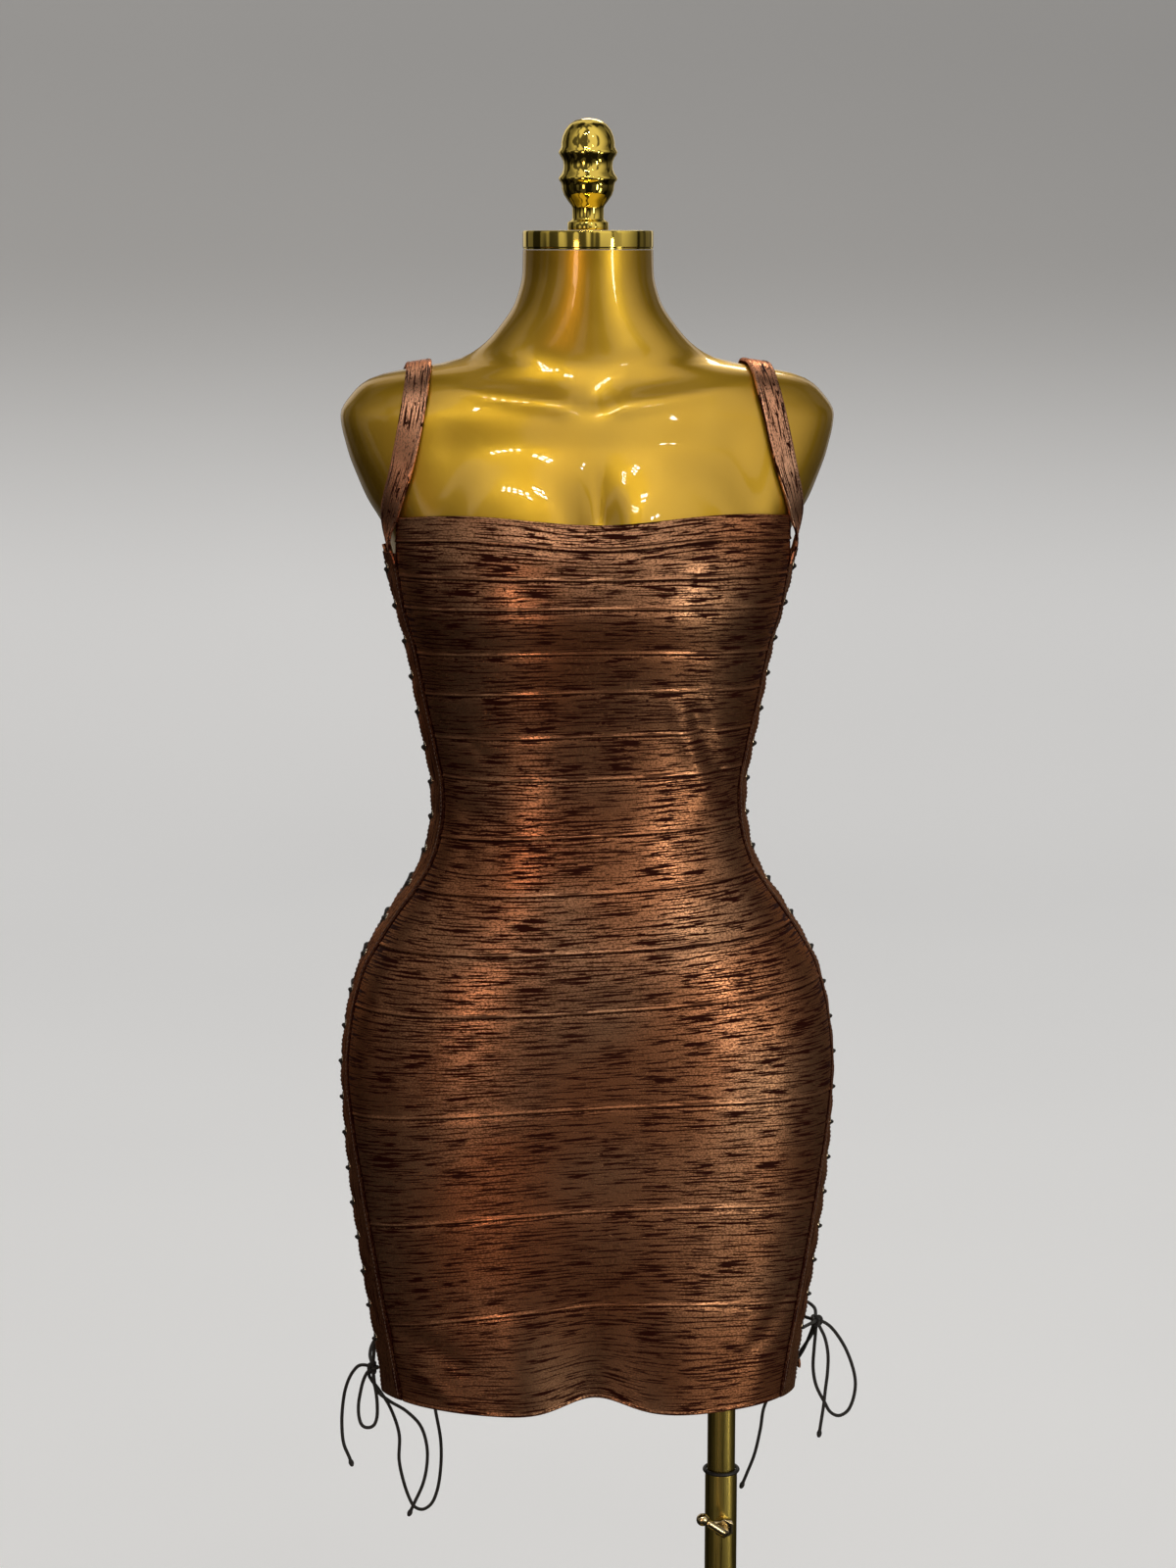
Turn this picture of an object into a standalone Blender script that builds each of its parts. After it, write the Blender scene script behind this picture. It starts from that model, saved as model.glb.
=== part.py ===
"""A banded bodycon dress with laced sides, worn by a limbless dress form on a telescopic stand.

Metres, +Z up.  The front of the dress faces -Y and +X is on the right seen from the front.
The origin is on the floor under the middle of the base plate.
"""
import math
from collections import namedtuple
from functools import lru_cache

import bmesh
import bpy
from mathutils import Vector

# ---------------------------------------------------------------- driving dimensions

GAP = 0.0003                 # what is left between two pieces that meet
BAND_GAP = 0.0005            # between two bands, up and down
SEAM_GAP = 0.0008            # between a body panel and its placket

FABRIC = 0.0016              # stretch knit band
EASE = 0.0014                # band to dress form
SEAM_LIP = 0.0005            # how far each band's lower edge stands over the next band
PLACKET_THICK = 0.0018       # two layers of thin knit
PLACKET_PROUD = 0.0008       # how far a placket stands over the bands
PLACKET_WIDTH = 0.026
PLACKET_TOP = 1.2620
EYELET_INSET = 0.0050        # eyelet centre to the placket's free edge
EYELET_HALF = 0.00185        # half the width of the square hole
EYELETS = 23                 # down each placket
EYELET_TOP = 1.2500
EYELET_BOTTOM = 0.6500
PLACKET_FOOT = 0.6270        # the last eyelet's stretch ends here, above a plain foot

STRAP_WIDTH = 0.0185
STRAP_THICK = 0.0018
STRAP_EASE = 0.0027          # strap to dress form
STRAP_INSET = 0.0006         # strap end to the placket's seam edge

CORD = 0.0027                # lacing cord, diameter
CORD_KNOB = 0.0022           # radius of the knot at a free end
LACE_NEAR = 0.0044           # placket's middle to a strand that stays close to it
LACE_FAR = 0.0058            # placket's middle to a strand that clears the other strand
LACE_CROSS = 0.0018          # half the distance between the two strands where they cross

FORM_BOTTOM = 0.645
FORM_TOP = 1.4812
SOCKET_DEPTH = 0.050         # blind hole in the form for the pole

BAND_COLUMNS = 12
FORM_COLUMNS = 8             # across the front, and across the back
FORM_UNDER = 0.0012          # the covered part of the form is this much slimmer
LACING_RELIEF = 0.0042       # the form lies back under the lacing
FORM_COVER = (1.2700, 1.3000)  # heights between which both of those fade out
FORM_EDGE = 0.0060           # height over which the form's lower edge turns in
FORM_EDGE_TUCK = 0.94        # size of its underside against the ring above the edge
FORM_RING_STEPS = ((0.955, 0.0440), (1.135, 0.0215))   # below a height, ring spacing
FORM_RING_CLEAR = 0.0100     # least spacing before the first table row
SHOULDER_TURN = (1.3400, 1.3950)   # rings are twice as close where the shoulders turn
FORM_FRONT_SHARE = 0.62      # most of the front depth that the front columns may end at
FORM_BACK_SHARE = 0.55
FORM_SIDE_SHARES = (0.20, 0.50, 0.80)   # the columns between the front and the back
FORM_THIGH_SHARE = 0.25      # how much more the form falls back between the thighs
SOCKET_CLEAR = 0.0004        # pole to its socket
CUTTER_OVERRUN = 0.0100

POLE_X = 0.1060
INNER_TUBE_RADIUS = 0.0110
OUTER_TUBE_RADIUS = 0.0127
OUTER_TUBE_BORE = 0.0114
OUTER_TUBE_TOP = 0.5240
INNER_TUBE_BOTTOM = 0.1900
TUBE_SIDES = 16
RING_THICK = 0.0016          # radius of the rubber ring's own section
RING_CLEAR = 0.0001          # rubber ring to the bore's own radius
TUBE_EDGE = 0.0010           # chamfer of the inner tube and of the neck cap

CLAMP_HEIGHT = 0.4850
CLAMP_ACROSS_FLATS = 0.0140
CLAMP_LENGTH = 0.0100
SCREW_RADIUS = 0.0028
SCREW_GAP = 0.0008           # screw to the corners of its hole
SCREW_REACH = 0.0340         # pole axis to the bend of the handle
HANDLE_LENGTH = 0.0225
HANDLE_LEAN = math.radians(145.0)   # from +X, turning up
HANDLE_BEND = 0.0045
BALL_START = 35.0            # turn of the ball's first ring from its rod, in degrees
BALL_TURN = 27.0             # and of each ring after it
BALL_RADIUS = 0.0050

BASE_RADIUS = 0.1700
BASE_THICK = 0.0080
SOCKET_RADIUS = 0.0200
SOCKET_HEIGHT = 0.0300
BASE_EDGE = 0.0020
SOCKET_TAPER = 0.0010

# ---------------------------------------------------------------- tables

# The outside of the dress form at each height.  The dress is made from the same rows, moved out.
# half_width is the reach to each side, front and back are the depths from the side line, and the
# powers say how square the plan is (2 is an ellipse).  front_edge is how far in front of the side
# line the front panel meets its placket.
Section = namedtuple("Section", "height half_width front back front_power back_power front_edge")
SECTIONS = (
    Section(0.5900, 0.1580, 0.0830, 0.0870, 2.20, 2.20, 0.0400),
    Section(0.6200, 0.1615, 0.0850, 0.0890, 2.20, 2.20, 0.0400),
    Section(0.6500, 0.1660, 0.0870, 0.0930, 2.20, 2.20, 0.0400),
    Section(0.7000, 0.1735, 0.0900, 0.1020, 2.20, 2.20, 0.0395),
    Section(0.7700, 0.1820, 0.0940, 0.1160, 2.25, 2.20, 0.0375),
    Section(0.8200, 0.1855, 0.0960, 0.1240, 2.35, 2.25, 0.0335),
    Section(0.8600, 0.1868, 0.0980, 0.1270, 2.40, 2.25, 0.0290),
    Section(0.9000, 0.1830, 0.0990, 0.1240, 2.40, 2.25, 0.0270),
    Section(0.9400, 0.1730, 0.0980, 0.1140, 2.40, 2.25, 0.0265),
    Section(0.9650, 0.1597, 0.0950, 0.1050, 2.35, 2.20, 0.0265),
    Section(0.9850, 0.1475, 0.0910, 0.0970, 2.30, 2.20, 0.0275),
    Section(1.0050, 0.1340, 0.0880, 0.0890, 2.25, 2.20, 0.0290),
    Section(1.0250, 0.1240, 0.0850, 0.0820, 2.20, 2.20, 0.0310),
    Section(1.0450, 0.1190, 0.0830, 0.0770, 2.20, 2.20, 0.0330),
    Section(1.0650, 0.1168, 0.0820, 0.0740, 2.20, 2.20, 0.0345),
    Section(1.0850, 0.1175, 0.0830, 0.0730, 2.20, 2.20, 0.0355),
    Section(1.1150, 0.1230, 0.0870, 0.0760, 2.20, 2.20, 0.0375),
    Section(1.1500, 0.1290, 0.0960, 0.0830, 2.30, 2.20, 0.0405),
    Section(1.1900, 0.1360, 0.1100, 0.0910, 2.35, 2.20, 0.0450),
    Section(1.2250, 0.1450, 0.1220, 0.0970, 2.40, 2.20, 0.0495),
    Section(1.2550, 0.1520, 0.1200, 0.1010, 2.40, 2.20, 0.0535),
    Section(1.2850, 0.1600, 0.1070, 0.1040, 2.40, 2.20, 0.0600),
    Section(1.3100, 0.1708, 0.0950, 0.1040, 2.40, 2.20, 0.0640),
    Section(1.3350, 0.1800, 0.0830, 0.1010, 2.40, 2.25, 0.0640),
    Section(1.3600, 0.1848, 0.0710, 0.0940, 2.35, 2.30, 0.0640),
    Section(1.3770, 0.1750, 0.0600, 0.0840, 2.30, 2.30, 0.0500),
    Section(1.3880, 0.1600, 0.0520, 0.0750, 2.25, 2.30, 0.0400),
    Section(1.3940, 0.1350, 0.0490, 0.0690, 2.20, 2.20, 0.0400),
    Section(1.4000, 0.1000, 0.0470, 0.0630, 2.10, 2.10, 0.0400),
    Section(1.4100, 0.0805, 0.0460, 0.0580, 2.00, 2.00, 0.0400),
    Section(1.4250, 0.0660, 0.0460, 0.0540, 2.00, 2.00, 0.0400),
    Section(1.4450, 0.0535, 0.0465, 0.0500, 2.00, 2.00, 0.0400),
    Section(1.4650, 0.0488, 0.0470, 0.0485, 2.00, 2.00, 0.0400),
    Section(1.4812, 0.0484, 0.0484, 0.0484, 2.00, 2.00, 0.0400),
)

# The seams between the bands, top edge to hem.  height is at the centre front, rise is how far the
# seam climbs over the bust points, tilt is how much higher it is at the right side than at the
# middle, fall is how far it drops at both sides, and rows is how many rows of faces the band
# under it has.
Seam = namedtuple("Seam", "height rise tilt fall rows")
SEAMS = (
    Seam(1.2848, 0.0070, 0.0000, 0.0020, 1),
    Seam(1.2665, 0.0060, 0.0000, 0.0000, 1),
    Seam(1.2465, 0.0010, 0.0000, 0.0020, 1),
    Seam(1.2262, 0.0000, 0.0000, 0.0050, 1),
    Seam(1.1940, 0.0000, 0.0000, 0.0080, 1),
    Seam(1.1640, 0.0000, 0.0015, 0.0075, 1),
    Seam(1.1297, 0.0000, 0.0030, 0.0045, 1),
    Seam(1.0965, 0.0000, 0.0030, 0.0010, 2),
    Seam(1.0530, 0.0000, 0.0050, 0.0030, 2),
    Seam(1.0105, 0.0000, 0.0055, 0.0010, 2),
    Seam(0.9675, 0.0000, 0.0065, 0.0000, 2),
    Seam(0.9235, 0.0000, 0.0080, 0.0005, 2),
    Seam(0.8500, 0.0000, 0.0060, 0.0130, 2),
    Seam(0.7695, 0.0000, 0.0060, 0.0200, 1),
    Seam(0.6925, 0.0000, 0.0065, 0.0240, 2),
    Seam(0.6030, 0.0000, -0.0030, 0.0000, 0),
)

BACK_EDGE = 0.0480           # how far behind the side line the back panel meets its placket

THIGH_VALLEY_TOP = 0.760     # the soft hollow between the thighs starts here
THIGH_VALLEY_LOW = 0.600     # and has its whole depth here
THIGH_VALLEY_DEPTH = 0.020   # at the hem, in front
THIGH_VALLEY_BACK = 0.012
THIGH_VALLEY_WIDTH = 0.036
HEM_LIFT = 0.011             # how far the hem rises over the hollow
HEM_LIFT_WIDTH = 0.21        # as a share of the half width

BUST_VALLEY_DEPTH = 0.0125
BUST_VALLEY_WIDTH = 0.021
BUST_VALLEY_HEIGHT = 1.262
BUST_VALLEY_REACH = 0.045
BUST_SPAN = 1.3              # a seam's climb is highest at half this share of the half width

# A strap's middle line over the shoulder: turn is the angle about a line from side to side, 0 to
# the front and 90 up, and reach is the distance from the middle of the form.
STRAP_AXIS_DEPTH = 0.004
STRAP_AXIS_HEIGHT = 1.335
StrapRow = namedtuple("StrapRow", "turn reach")
STRAP_ROWS = (
    StrapRow(-46.0, 0.1490),
    StrapRow(-30.0, 0.1462),
    StrapRow(-12.0, 0.1405),
    StrapRow(8.0, 0.1355),
    StrapRow(28.0, 0.1315),
    StrapRow(48.0, 0.1280),
    StrapRow(68.0, 0.1262),
    StrapRow(90.0, 0.1255),
    StrapRow(112.0, 0.1260),
    StrapRow(134.0, 0.1275),
    StrapRow(154.0, 0.1300),
    StrapRow(174.0, 0.1330),
    StrapRow(194.0, 0.1370),
    StrapRow(212.0, 0.1425),
)

# The finial on the neck cap, as a turned profile.
Turn = namedtuple("Turn", "radius height")
FINIAL_PROFILE = (
    Turn(0.0150, 0.0000),
    Turn(0.0150, 0.0060),
    Turn(0.0117, 0.0088),
    Turn(0.0117, 0.0170),
    Turn(0.0192, 0.0292),
    Turn(0.0218, 0.0372),
    Turn(0.0184, 0.0450),
    Turn(0.0184, 0.0500),
    Turn(0.0219, 0.0566),
    Turn(0.0200, 0.0620),
    Turn(0.0184, 0.0700),
    Turn(0.0120, 0.0782),
    Turn(0.0045, 0.0806),
)

NECK_CAP_RADIUS = 0.0486
NECK_CAP_THICK = 0.0138

# Colour, roughness and metallic value of each finish.
FINISHES = {
    "foil_knit": ((0.130, 0.055, 0.030), 0.42, 0.55),
    "foil_binding": ((0.100, 0.042, 0.026), 0.50, 0.40),
    "gold_paint": ((0.560, 0.360, 0.070), 0.16, 0.60),
    "gold_plate": ((0.860, 0.600, 0.170), 0.08, 1.00),
    "satin_brass": ((0.420, 0.330, 0.130), 0.30, 1.00),
    "black_cord": ((0.012, 0.010, 0.010), 0.70, 0.00),
    "black_rubber": ((0.015, 0.015, 0.015), 0.55, 0.00),
}

# ---------------------------------------------------------------- cord routes, chosen by hand

# Each free cord leaves its knot and hangs; a loop comes back to the knot.
LEFT_KNOT = (-0.1690, 0.0000, 0.6180)
RIGHT_KNOT = (0.1820, 0.0080, 0.6440)
KNOT_SIZE = (0.0055, 0.0050, 0.0060)     # half sizes

FREE_CORDS = {
    "bow_left_end_side": (
        (-0.1746, 0.0000, 0.6206), (-0.1800, 0.0015, 0.6210), (-0.1860, 0.0050, 0.6130),
        (-0.1905, 0.0080, 0.5985), (-0.1930, 0.0100, 0.5830), (-0.1938, 0.0100, 0.5676),
        (-0.1925, 0.0100, 0.5521), (-0.1880, 0.0100, 0.5400), (-0.1860, 0.0100, 0.5333),
    ),
    "bow_left_loop_side": (
        (-0.1734, -0.0006, 0.6142), (-0.1765, -0.0010, 0.6080), (-0.1790, 0.0000, 0.5977),
        (-0.1800, 0.0020, 0.5863), (-0.1785, 0.0040, 0.5740), (-0.1735, 0.0050, 0.5670),
        (-0.1690, 0.0030, 0.5740), (-0.1668, 0.0000, 0.5855), (-0.1668, -0.0030, 0.5970),
        (-0.1680, -0.0034, 0.6070), (-0.1685, -0.0028, 0.6122),
    ),
    "bow_left_loop_back": (
        (-0.1700, 0.0048, 0.6145), (-0.1718, 0.0110, 0.6085), (-0.1700, 0.0240, 0.5990),
        (-0.1640, 0.0400, 0.5850), (-0.1545, 0.0520, 0.5640), (-0.1480, 0.0570, 0.5406),
        (-0.1482, 0.0590, 0.5181), (-0.1452, 0.0600, 0.5010), (-0.1398, 0.0620, 0.4839),
        (-0.1312, 0.0640, 0.4740), (-0.1208, 0.0660, 0.4822), (-0.1143, 0.0680, 0.5056),
        (-0.1142, 0.0700, 0.5289), (-0.1179, 0.0730, 0.5522), (-0.1225, 0.0755, 0.5790),
        (-0.1290, 0.0750, 0.6030), (-0.1420, 0.0640, 0.6200), (-0.1560, 0.0480, 0.6290),
        (-0.1675, 0.0300, 0.6290), (-0.1710, 0.0150, 0.6235), (-0.1697, 0.0057, 0.6195),
    ),
    "bow_left_end_back": (
        (-0.1687, 0.0022, 0.6122), (-0.1685, 0.0045, 0.6050), (-0.1655, 0.0150, 0.5930),
        (-0.1560, 0.0300, 0.5790), (-0.1420, 0.0400, 0.5660), (-0.1310, 0.0440, 0.5520),
        (-0.1262, 0.0450, 0.5350), (-0.1262, 0.0450, 0.5190), (-0.1295, 0.0450, 0.5030),
        (-0.1370, 0.0450, 0.4860), (-0.1415, 0.0450, 0.4760),
    ),
    "bow_right_end_side": (
        (0.1846, 0.0050, 0.6395), (0.1880, 0.0010, 0.6320), (0.1900, -0.0030, 0.6200),
        (0.1895, -0.0050, 0.6056), (0.1880, -0.0050, 0.5915), (0.1867, -0.0050, 0.5780),
        (0.1845, -0.0050, 0.5620), (0.1831, -0.0050, 0.5520),
    ),
    "bow_right_loop_side": (
        (0.1874, 0.0096, 0.6425), (0.1945, 0.0110, 0.6370), (0.2072, 0.0130, 0.6172),
        (0.2150, 0.0140, 0.5904), (0.2130, 0.0150, 0.5709), (0.2017, 0.0150, 0.5619),
        (0.1915, 0.0150, 0.5717), (0.1835, 0.0140, 0.5880), (0.1806, 0.0120, 0.6034),
        (0.1808, 0.0095, 0.6204), (0.1815, 0.0088, 0.6310), (0.1818, 0.0084, 0.6375),
    ),
    "bow_right_loop_back": (
        (0.1829, 0.0128, 0.6410), (0.1840, 0.0190, 0.6360), (0.1815, 0.0320, 0.6230),
        (0.1740, 0.0450, 0.6040), (0.1640, 0.0540, 0.5830), (0.1530, 0.0590, 0.5671),
        (0.1422, 0.0630, 0.5613), (0.1304, 0.0690, 0.5600), (0.1215, 0.0745, 0.5710),
        (0.1195, 0.0790, 0.5900), (0.1235, 0.0795, 0.6110), (0.1330, 0.0740, 0.6290),
        (0.1470, 0.0630, 0.6420), (0.1625, 0.0470, 0.6510), (0.1760, 0.0310, 0.6530),
        (0.1825, 0.0210, 0.6500), (0.1824, 0.0137, 0.6462),
    ),
    "bow_right_end_back": (
        (0.1800, 0.0107, 0.6385), (0.1785, 0.0150, 0.6310), (0.1740, 0.0240, 0.6140),
        (0.1650, 0.0340, 0.5950), (0.1540, 0.0410, 0.5780), (0.1460, 0.0440, 0.5600),
        (0.1431, 0.0450, 0.5403), (0.1385, 0.0450, 0.5195), (0.1323, 0.0450, 0.5030),
        (0.1275, 0.0450, 0.4910),
    ),
}

# ---------------------------------------------------------------- helpers


def smooth_step(low, high, value):
    """0 below low, 1 above high and smooth between."""
    share = min(1.0, max(0.0, (value - low) / (high - low)))
    return share * share * (3.0 - 2.0 * share)


def slopes(heights, values):
    """Slopes of a curve through the values that never swings past them."""
    steps = [b - a for a, b in zip(heights, heights[1:])]
    rates = [(b - a) / h for a, b, h in zip(values, values[1:], steps)]
    inner = []
    for before, after, h0, h1 in zip(rates, rates[1:], steps, steps[1:]):
        if before * after <= 0.0:
            inner.append(0.0)
        else:
            w0, w1 = 2.0 * h1 + h0, h1 + 2.0 * h0
            inner.append((w0 + w1) / (w0 / before + w1 / after))
    return [rates[0]] + inner + [rates[-1]]


HEIGHTS = [row.height for row in SECTIONS]
COLUMNS = list(zip(*SECTIONS))[1:]
SLOPES = [slopes(HEIGHTS, column) for column in COLUMNS]


@lru_cache(maxsize=None)
def section(height):
    """The named measures of the dress form at a height."""
    height = min(HEIGHTS[-1], max(HEIGHTS[0], height))
    row = max(i for i in range(len(HEIGHTS) - 1) if HEIGHTS[i] <= height)
    step = HEIGHTS[row + 1] - HEIGHTS[row]
    t = (height - HEIGHTS[row]) / step
    start, end = (1.0 + 2.0 * t) * (1.0 - t) ** 2, t * t * (3.0 - 2.0 * t)
    leave, arrive = t * (1.0 - t) ** 2 * step, t * t * (t - 1.0) * step
    values = [
        start * column[row] + end * column[row + 1] + leave * slope[row] + arrive * slope[row + 1]
        for column, slope in zip(COLUMNS, SLOPES)
    ]
    return Section(height, *values)


def thigh_valley(x, y, height):
    """How far the cloth and the form fall back between the thighs."""
    depth = THIGH_VALLEY_DEPTH if y < 0.0 else THIGH_VALLEY_BACK
    share = 1.0 - smooth_step(THIGH_VALLEY_LOW, THIGH_VALLEY_TOP, height)
    return depth * share * math.exp(-((x / THIGH_VALLEY_WIDTH) ** 2))


def level(x, y, z):
    """Below zero inside the form's outline, above zero outside it."""
    rows = section(round(z, 6))
    depth, power = (rows.front, rows.front_power) if y < 0.0 else (rows.back, rows.back_power)
    reach = abs(y) + thigh_valley(x, y, z)
    return (abs(x) / rows.half_width) ** power + (reach / depth) ** power - 1.0


def outward(point, step=0.0004):
    """Unit direction away from the form at a point on its surface."""
    x, y, z = point
    return Vector((
        level(x + step, y, z) - level(x - step, y, z),
        level(x, y + step, z) - level(x, y - step, z),
        level(x, y, z + step) - level(x, y, z - step),
    )).normalized()


def outline_point(angle, height):
    """A point of the form's outline at a plan angle, 0 to the front and 90 degrees to +X."""
    rows = section(round(height, 6))
    s, c = math.sin(angle), math.cos(angle)
    depth, power = (rows.front, rows.front_power) if c > 0.0 else (rows.back, rows.back_power)
    size = (abs(s) ** power + abs(c) ** power) ** (1.0 / power)
    x, y = rows.half_width * s / size, -depth * c / size
    shift = thigh_valley(x, y, height)
    return Vector((x, y + shift if c > 0.0 else y - shift, height))


def side_point(side, y, height):
    """A point of the outline on the left (-1) or right (1) side at a depth y."""
    rows = section(round(height, 6))
    depth, power = (rows.front, rows.front_power) if y < 0.0 else (rows.back, rows.back_power)
    x = rows.half_width * (1.0 - (abs(y) / depth) ** power) ** (1.0 / power)
    return Vector((side * x, y, height))


def moved_out(point, distance):
    return point + outward(point) * distance


def edge_angle(height, edge, front):
    """Plan angle at which a panel ends, its edge lying a distance from the side line."""
    rows = section(round(height, 6))
    depth, power = (rows.front, rows.front_power) if front else (rows.back, rows.back_power)
    share = edge / depth
    return math.atan2((1.0 - share ** power) ** (1.0 / power), share)


def make_object(name, finish, bm, smooth_angle=40.0):
    """Turns a bmesh into a named object with its finish."""
    bmesh.ops.recalc_face_normals(bm, faces=bm.faces)
    mesh = bpy.data.meshes.new(name)
    bm.to_mesh(mesh)
    bm.free()
    mesh.materials.append(finish)
    mesh.shade_smooth()
    mesh.set_sharp_from_angle(angle=math.radians(smooth_angle))
    piece = bpy.data.objects.new(name, mesh)
    bpy.context.scene.collection.objects.link(piece)
    return piece


def make_finish(name):
    color, roughness, metallic = FINISHES[name]
    finish = bpy.data.materials.new(name)
    finish.use_nodes = True
    shader = finish.node_tree.nodes["Principled BSDF"]
    shader.inputs["Base Color"].default_value = (*color, 1.0)
    shader.inputs["Roughness"].default_value = roughness
    shader.inputs["Metallic"].default_value = metallic
    finish.diffuse_color = (*color, 1.0)
    return finish


def wall(name, finish, outer, inner):
    """A closed sheet between two grids of points, rows down and columns across."""
    bm = bmesh.new()
    skins = [[[bm.verts.new(point) for point in row] for row in grid] for grid in (outer, inner)]
    rows, columns = len(outer), len(outer[0])
    for r in range(rows - 1):
        for c in range(columns - 1):
            for skin, turn in ((skins[0], 1), (skins[1], -1)):
                ring = (skin[r][c], skin[r][c + 1], skin[r + 1][c + 1], skin[r + 1][c])
                bm.faces.new(ring[::turn])
    border = [(0, c) for c in range(columns)]
    border += [(r, columns - 1) for r in range(1, rows)]
    border += [(rows - 1, c) for c in range(columns - 2, -1, -1)]
    border += [(r, 0) for r in range(rows - 2, 0, -1)]
    for (r0, c0), (r1, c1) in zip(border, border[1:] + border[:1]):
        bm.faces.new((skins[0][r1][c1], skins[0][r0][c0], skins[1][r0][c0], skins[1][r1][c1]))
    return make_object(name, finish, bm, smooth_angle=50.0)


def turned(name, finish, profile, sides, centre, bore=0.0):
    """A body of revolution about a vertical line, from a profile of radii and heights."""
    bm = bmesh.new()
    rings = []
    for radius, height in profile:
        ring = []
        for k in range(sides):
            turn = 2.0 * math.pi * (k + 0.5) / sides - math.pi / 2.0
            x, y = radius * math.cos(turn), radius * math.sin(turn)
            ring.append(bm.verts.new((centre[0] + x, centre[1] + y, centre[2] + height)))
        rings.append(ring)
    loops = list(zip(rings, rings[1:]))
    if bore:
        loops.append((rings[-1], rings[0]))
    else:
        bm.faces.new(rings[0][::-1])
        bm.faces.new(rings[-1])
    for low, high in loops:
        for k in range(sides):
            nxt = (k + 1) % sides
            bm.faces.new((low[k], low[nxt], high[nxt], high[k]))
    return make_object(name, finish, bm)


def knot_seat(place, toward):
    """A point just clear of a knot, on the side that faces another point."""
    way = (Vector(toward) - Vector(place)).normalized()
    reach = 1.0 / math.sqrt(sum((way[k] / KNOT_SIZE[k]) ** 2 for k in range(3)))
    return Vector(place) + way * (reach + 2.0 * GAP)


def smooth_route(route, step):
    """Points a step apart on a smooth curve through a route's own points."""
    points = [Vector(p) for p in route]
    points = [2 * points[0] - points[1]] + points + [2 * points[-1] - points[-2]]
    fine = []
    for a, b, c, d in zip(points, points[1:], points[2:], points[3:]):
        for k in range(12):
            t = k / 12.0
            fine.append(0.5 * (2 * b + (c - a) * t + (2 * a - 5 * b + 4 * c - d) * t ** 2
                               + (3 * b - a - 3 * c + d) * t ** 3))
    fine.append(points[-2])
    lengths = [0.0]
    for p, q in zip(fine, fine[1:]):
        lengths.append(lengths[-1] + (q - p).length)
    count = max(3, round(lengths[-1] / step))
    spaced, k = [], 0
    for i in range(count + 1):
        goal = lengths[-1] * i / count
        while k < len(fine) - 2 and lengths[k + 1] < goal:
            k += 1
        t = (goal - lengths[k]) / max(1e-9, lengths[k + 1] - lengths[k])
        spaced.append(fine[k].lerp(fine[k + 1], min(1.0, t)))
    return spaced


def cord_tube(name, finish, points, radii=None):
    """A round cord along points, with closed ends."""
    curve = bpy.data.curves.new(name, "CURVE")
    curve.dimensions = "3D"
    curve.bevel_depth = CORD / 2.0
    curve.bevel_resolution = 2
    curve.use_fill_caps = True
    spline = curve.splines.new("POLY")
    spline.points.add(len(points) - 1)
    for k, point in enumerate(points):
        spline.points[k].co = (*point, 1.0)
        spline.points[k].radius = radii[k] / (CORD / 2.0) if radii else 1.0
    curve.materials.append(finish)
    piece = bpy.data.objects.new(name, curve)
    bpy.context.scene.collection.objects.link(piece)
    return piece


# ---------------------------------------------------------------- the dress


def seam_height(seam, share, front):
    """Height of a seam at a share of the half width, -1 at the left side and 1 at the right."""
    bust = math.sin(math.pi * share / BUST_SPAN) ** 2
    side_bust = math.sin(math.pi / BUST_SPAN) ** 2
    if not front:
        return seam.height + seam.rise * side_bust + seam.tilt * share - seam.fall
    hem = HEM_LIFT * math.exp(-((share / HEM_LIFT_WIDTH) ** 2)) if seam is SEAMS[-1] else 0.0
    return seam.height + seam.rise * bust + seam.tilt * share - seam.fall * share ** 2 + hem


def top_edge_height(share, front):
    """The dress's top edge.  Behind, it runs straight across between the plackets."""
    if front:
        return seam_height(SEAMS[0], share, True)
    return PLACKET_TOP


def panel_point(share, seam, top, front):
    """Where a column of a panel crosses a seam: its height and its plan angle."""
    height = seam.height
    for _ in range(4):
        edge = section(round(height, 6)).front_edge if front else BACK_EDGE
        limit = edge_angle(height, edge + SEAM_GAP / 2.0, front)
        angle = share * limit if front else math.pi - share * limit
        rows = section(round(height, 6))
        reach = outline_point(angle, height).x / rows.half_width
        height = top_edge_height(reach, front) if top else seam_height(seam, reach, front)
    return height


def panel_angle(share, height, front):
    edge = section(round(height, 6)).front_edge if front else BACK_EDGE
    limit = edge_angle(height, edge + SEAM_GAP / 2.0, front)
    return share * limit if front else math.pi - share * limit


def band(number, front, finish):
    """One knitted band of the front or the back, numbered from the panel's top."""
    first = 0 if front else 1
    upper, lower = SEAMS[first + number], SEAMS[first + number + 1]
    outer, inner = [], []
    shares = [2.0 * k / BAND_COLUMNS - 1.0 for k in range(BAND_COLUMNS + 1)]
    highs = [panel_point(s, upper, number == 0, front) - BAND_GAP / 2.0 for s in shares]
    lows = [panel_point(s, lower, False, front) + BAND_GAP / 2.0 for s in shares]
    for r in range(upper.rows + 1):
        down = r / upper.rows
        ring_out, ring_in = [], []
        for share, high, low in zip(shares, highs, lows):
            height = high + (low - high) * down
            point = outline_point(panel_angle(share, height, front), height)
            away = outward(point)
            ring_out.append(point + away * (EASE + FABRIC + SEAM_LIP * down))
            ring_in.append(point + away * EASE)
        outer.append(ring_out)
        inner.append(ring_in)
    face = "front" if front else "back"
    return wall(f"{face}_band_{number + 1:02d}", finish, outer, inner)


def placket_span(height, front):
    """Depths of a placket's seam edge and of its free edge."""
    if front:
        seam = -section(round(height, 6)).front_edge
        return seam, seam + PLACKET_WIDTH
    return BACK_EDGE, BACK_EDGE - PLACKET_WIDTH


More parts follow.
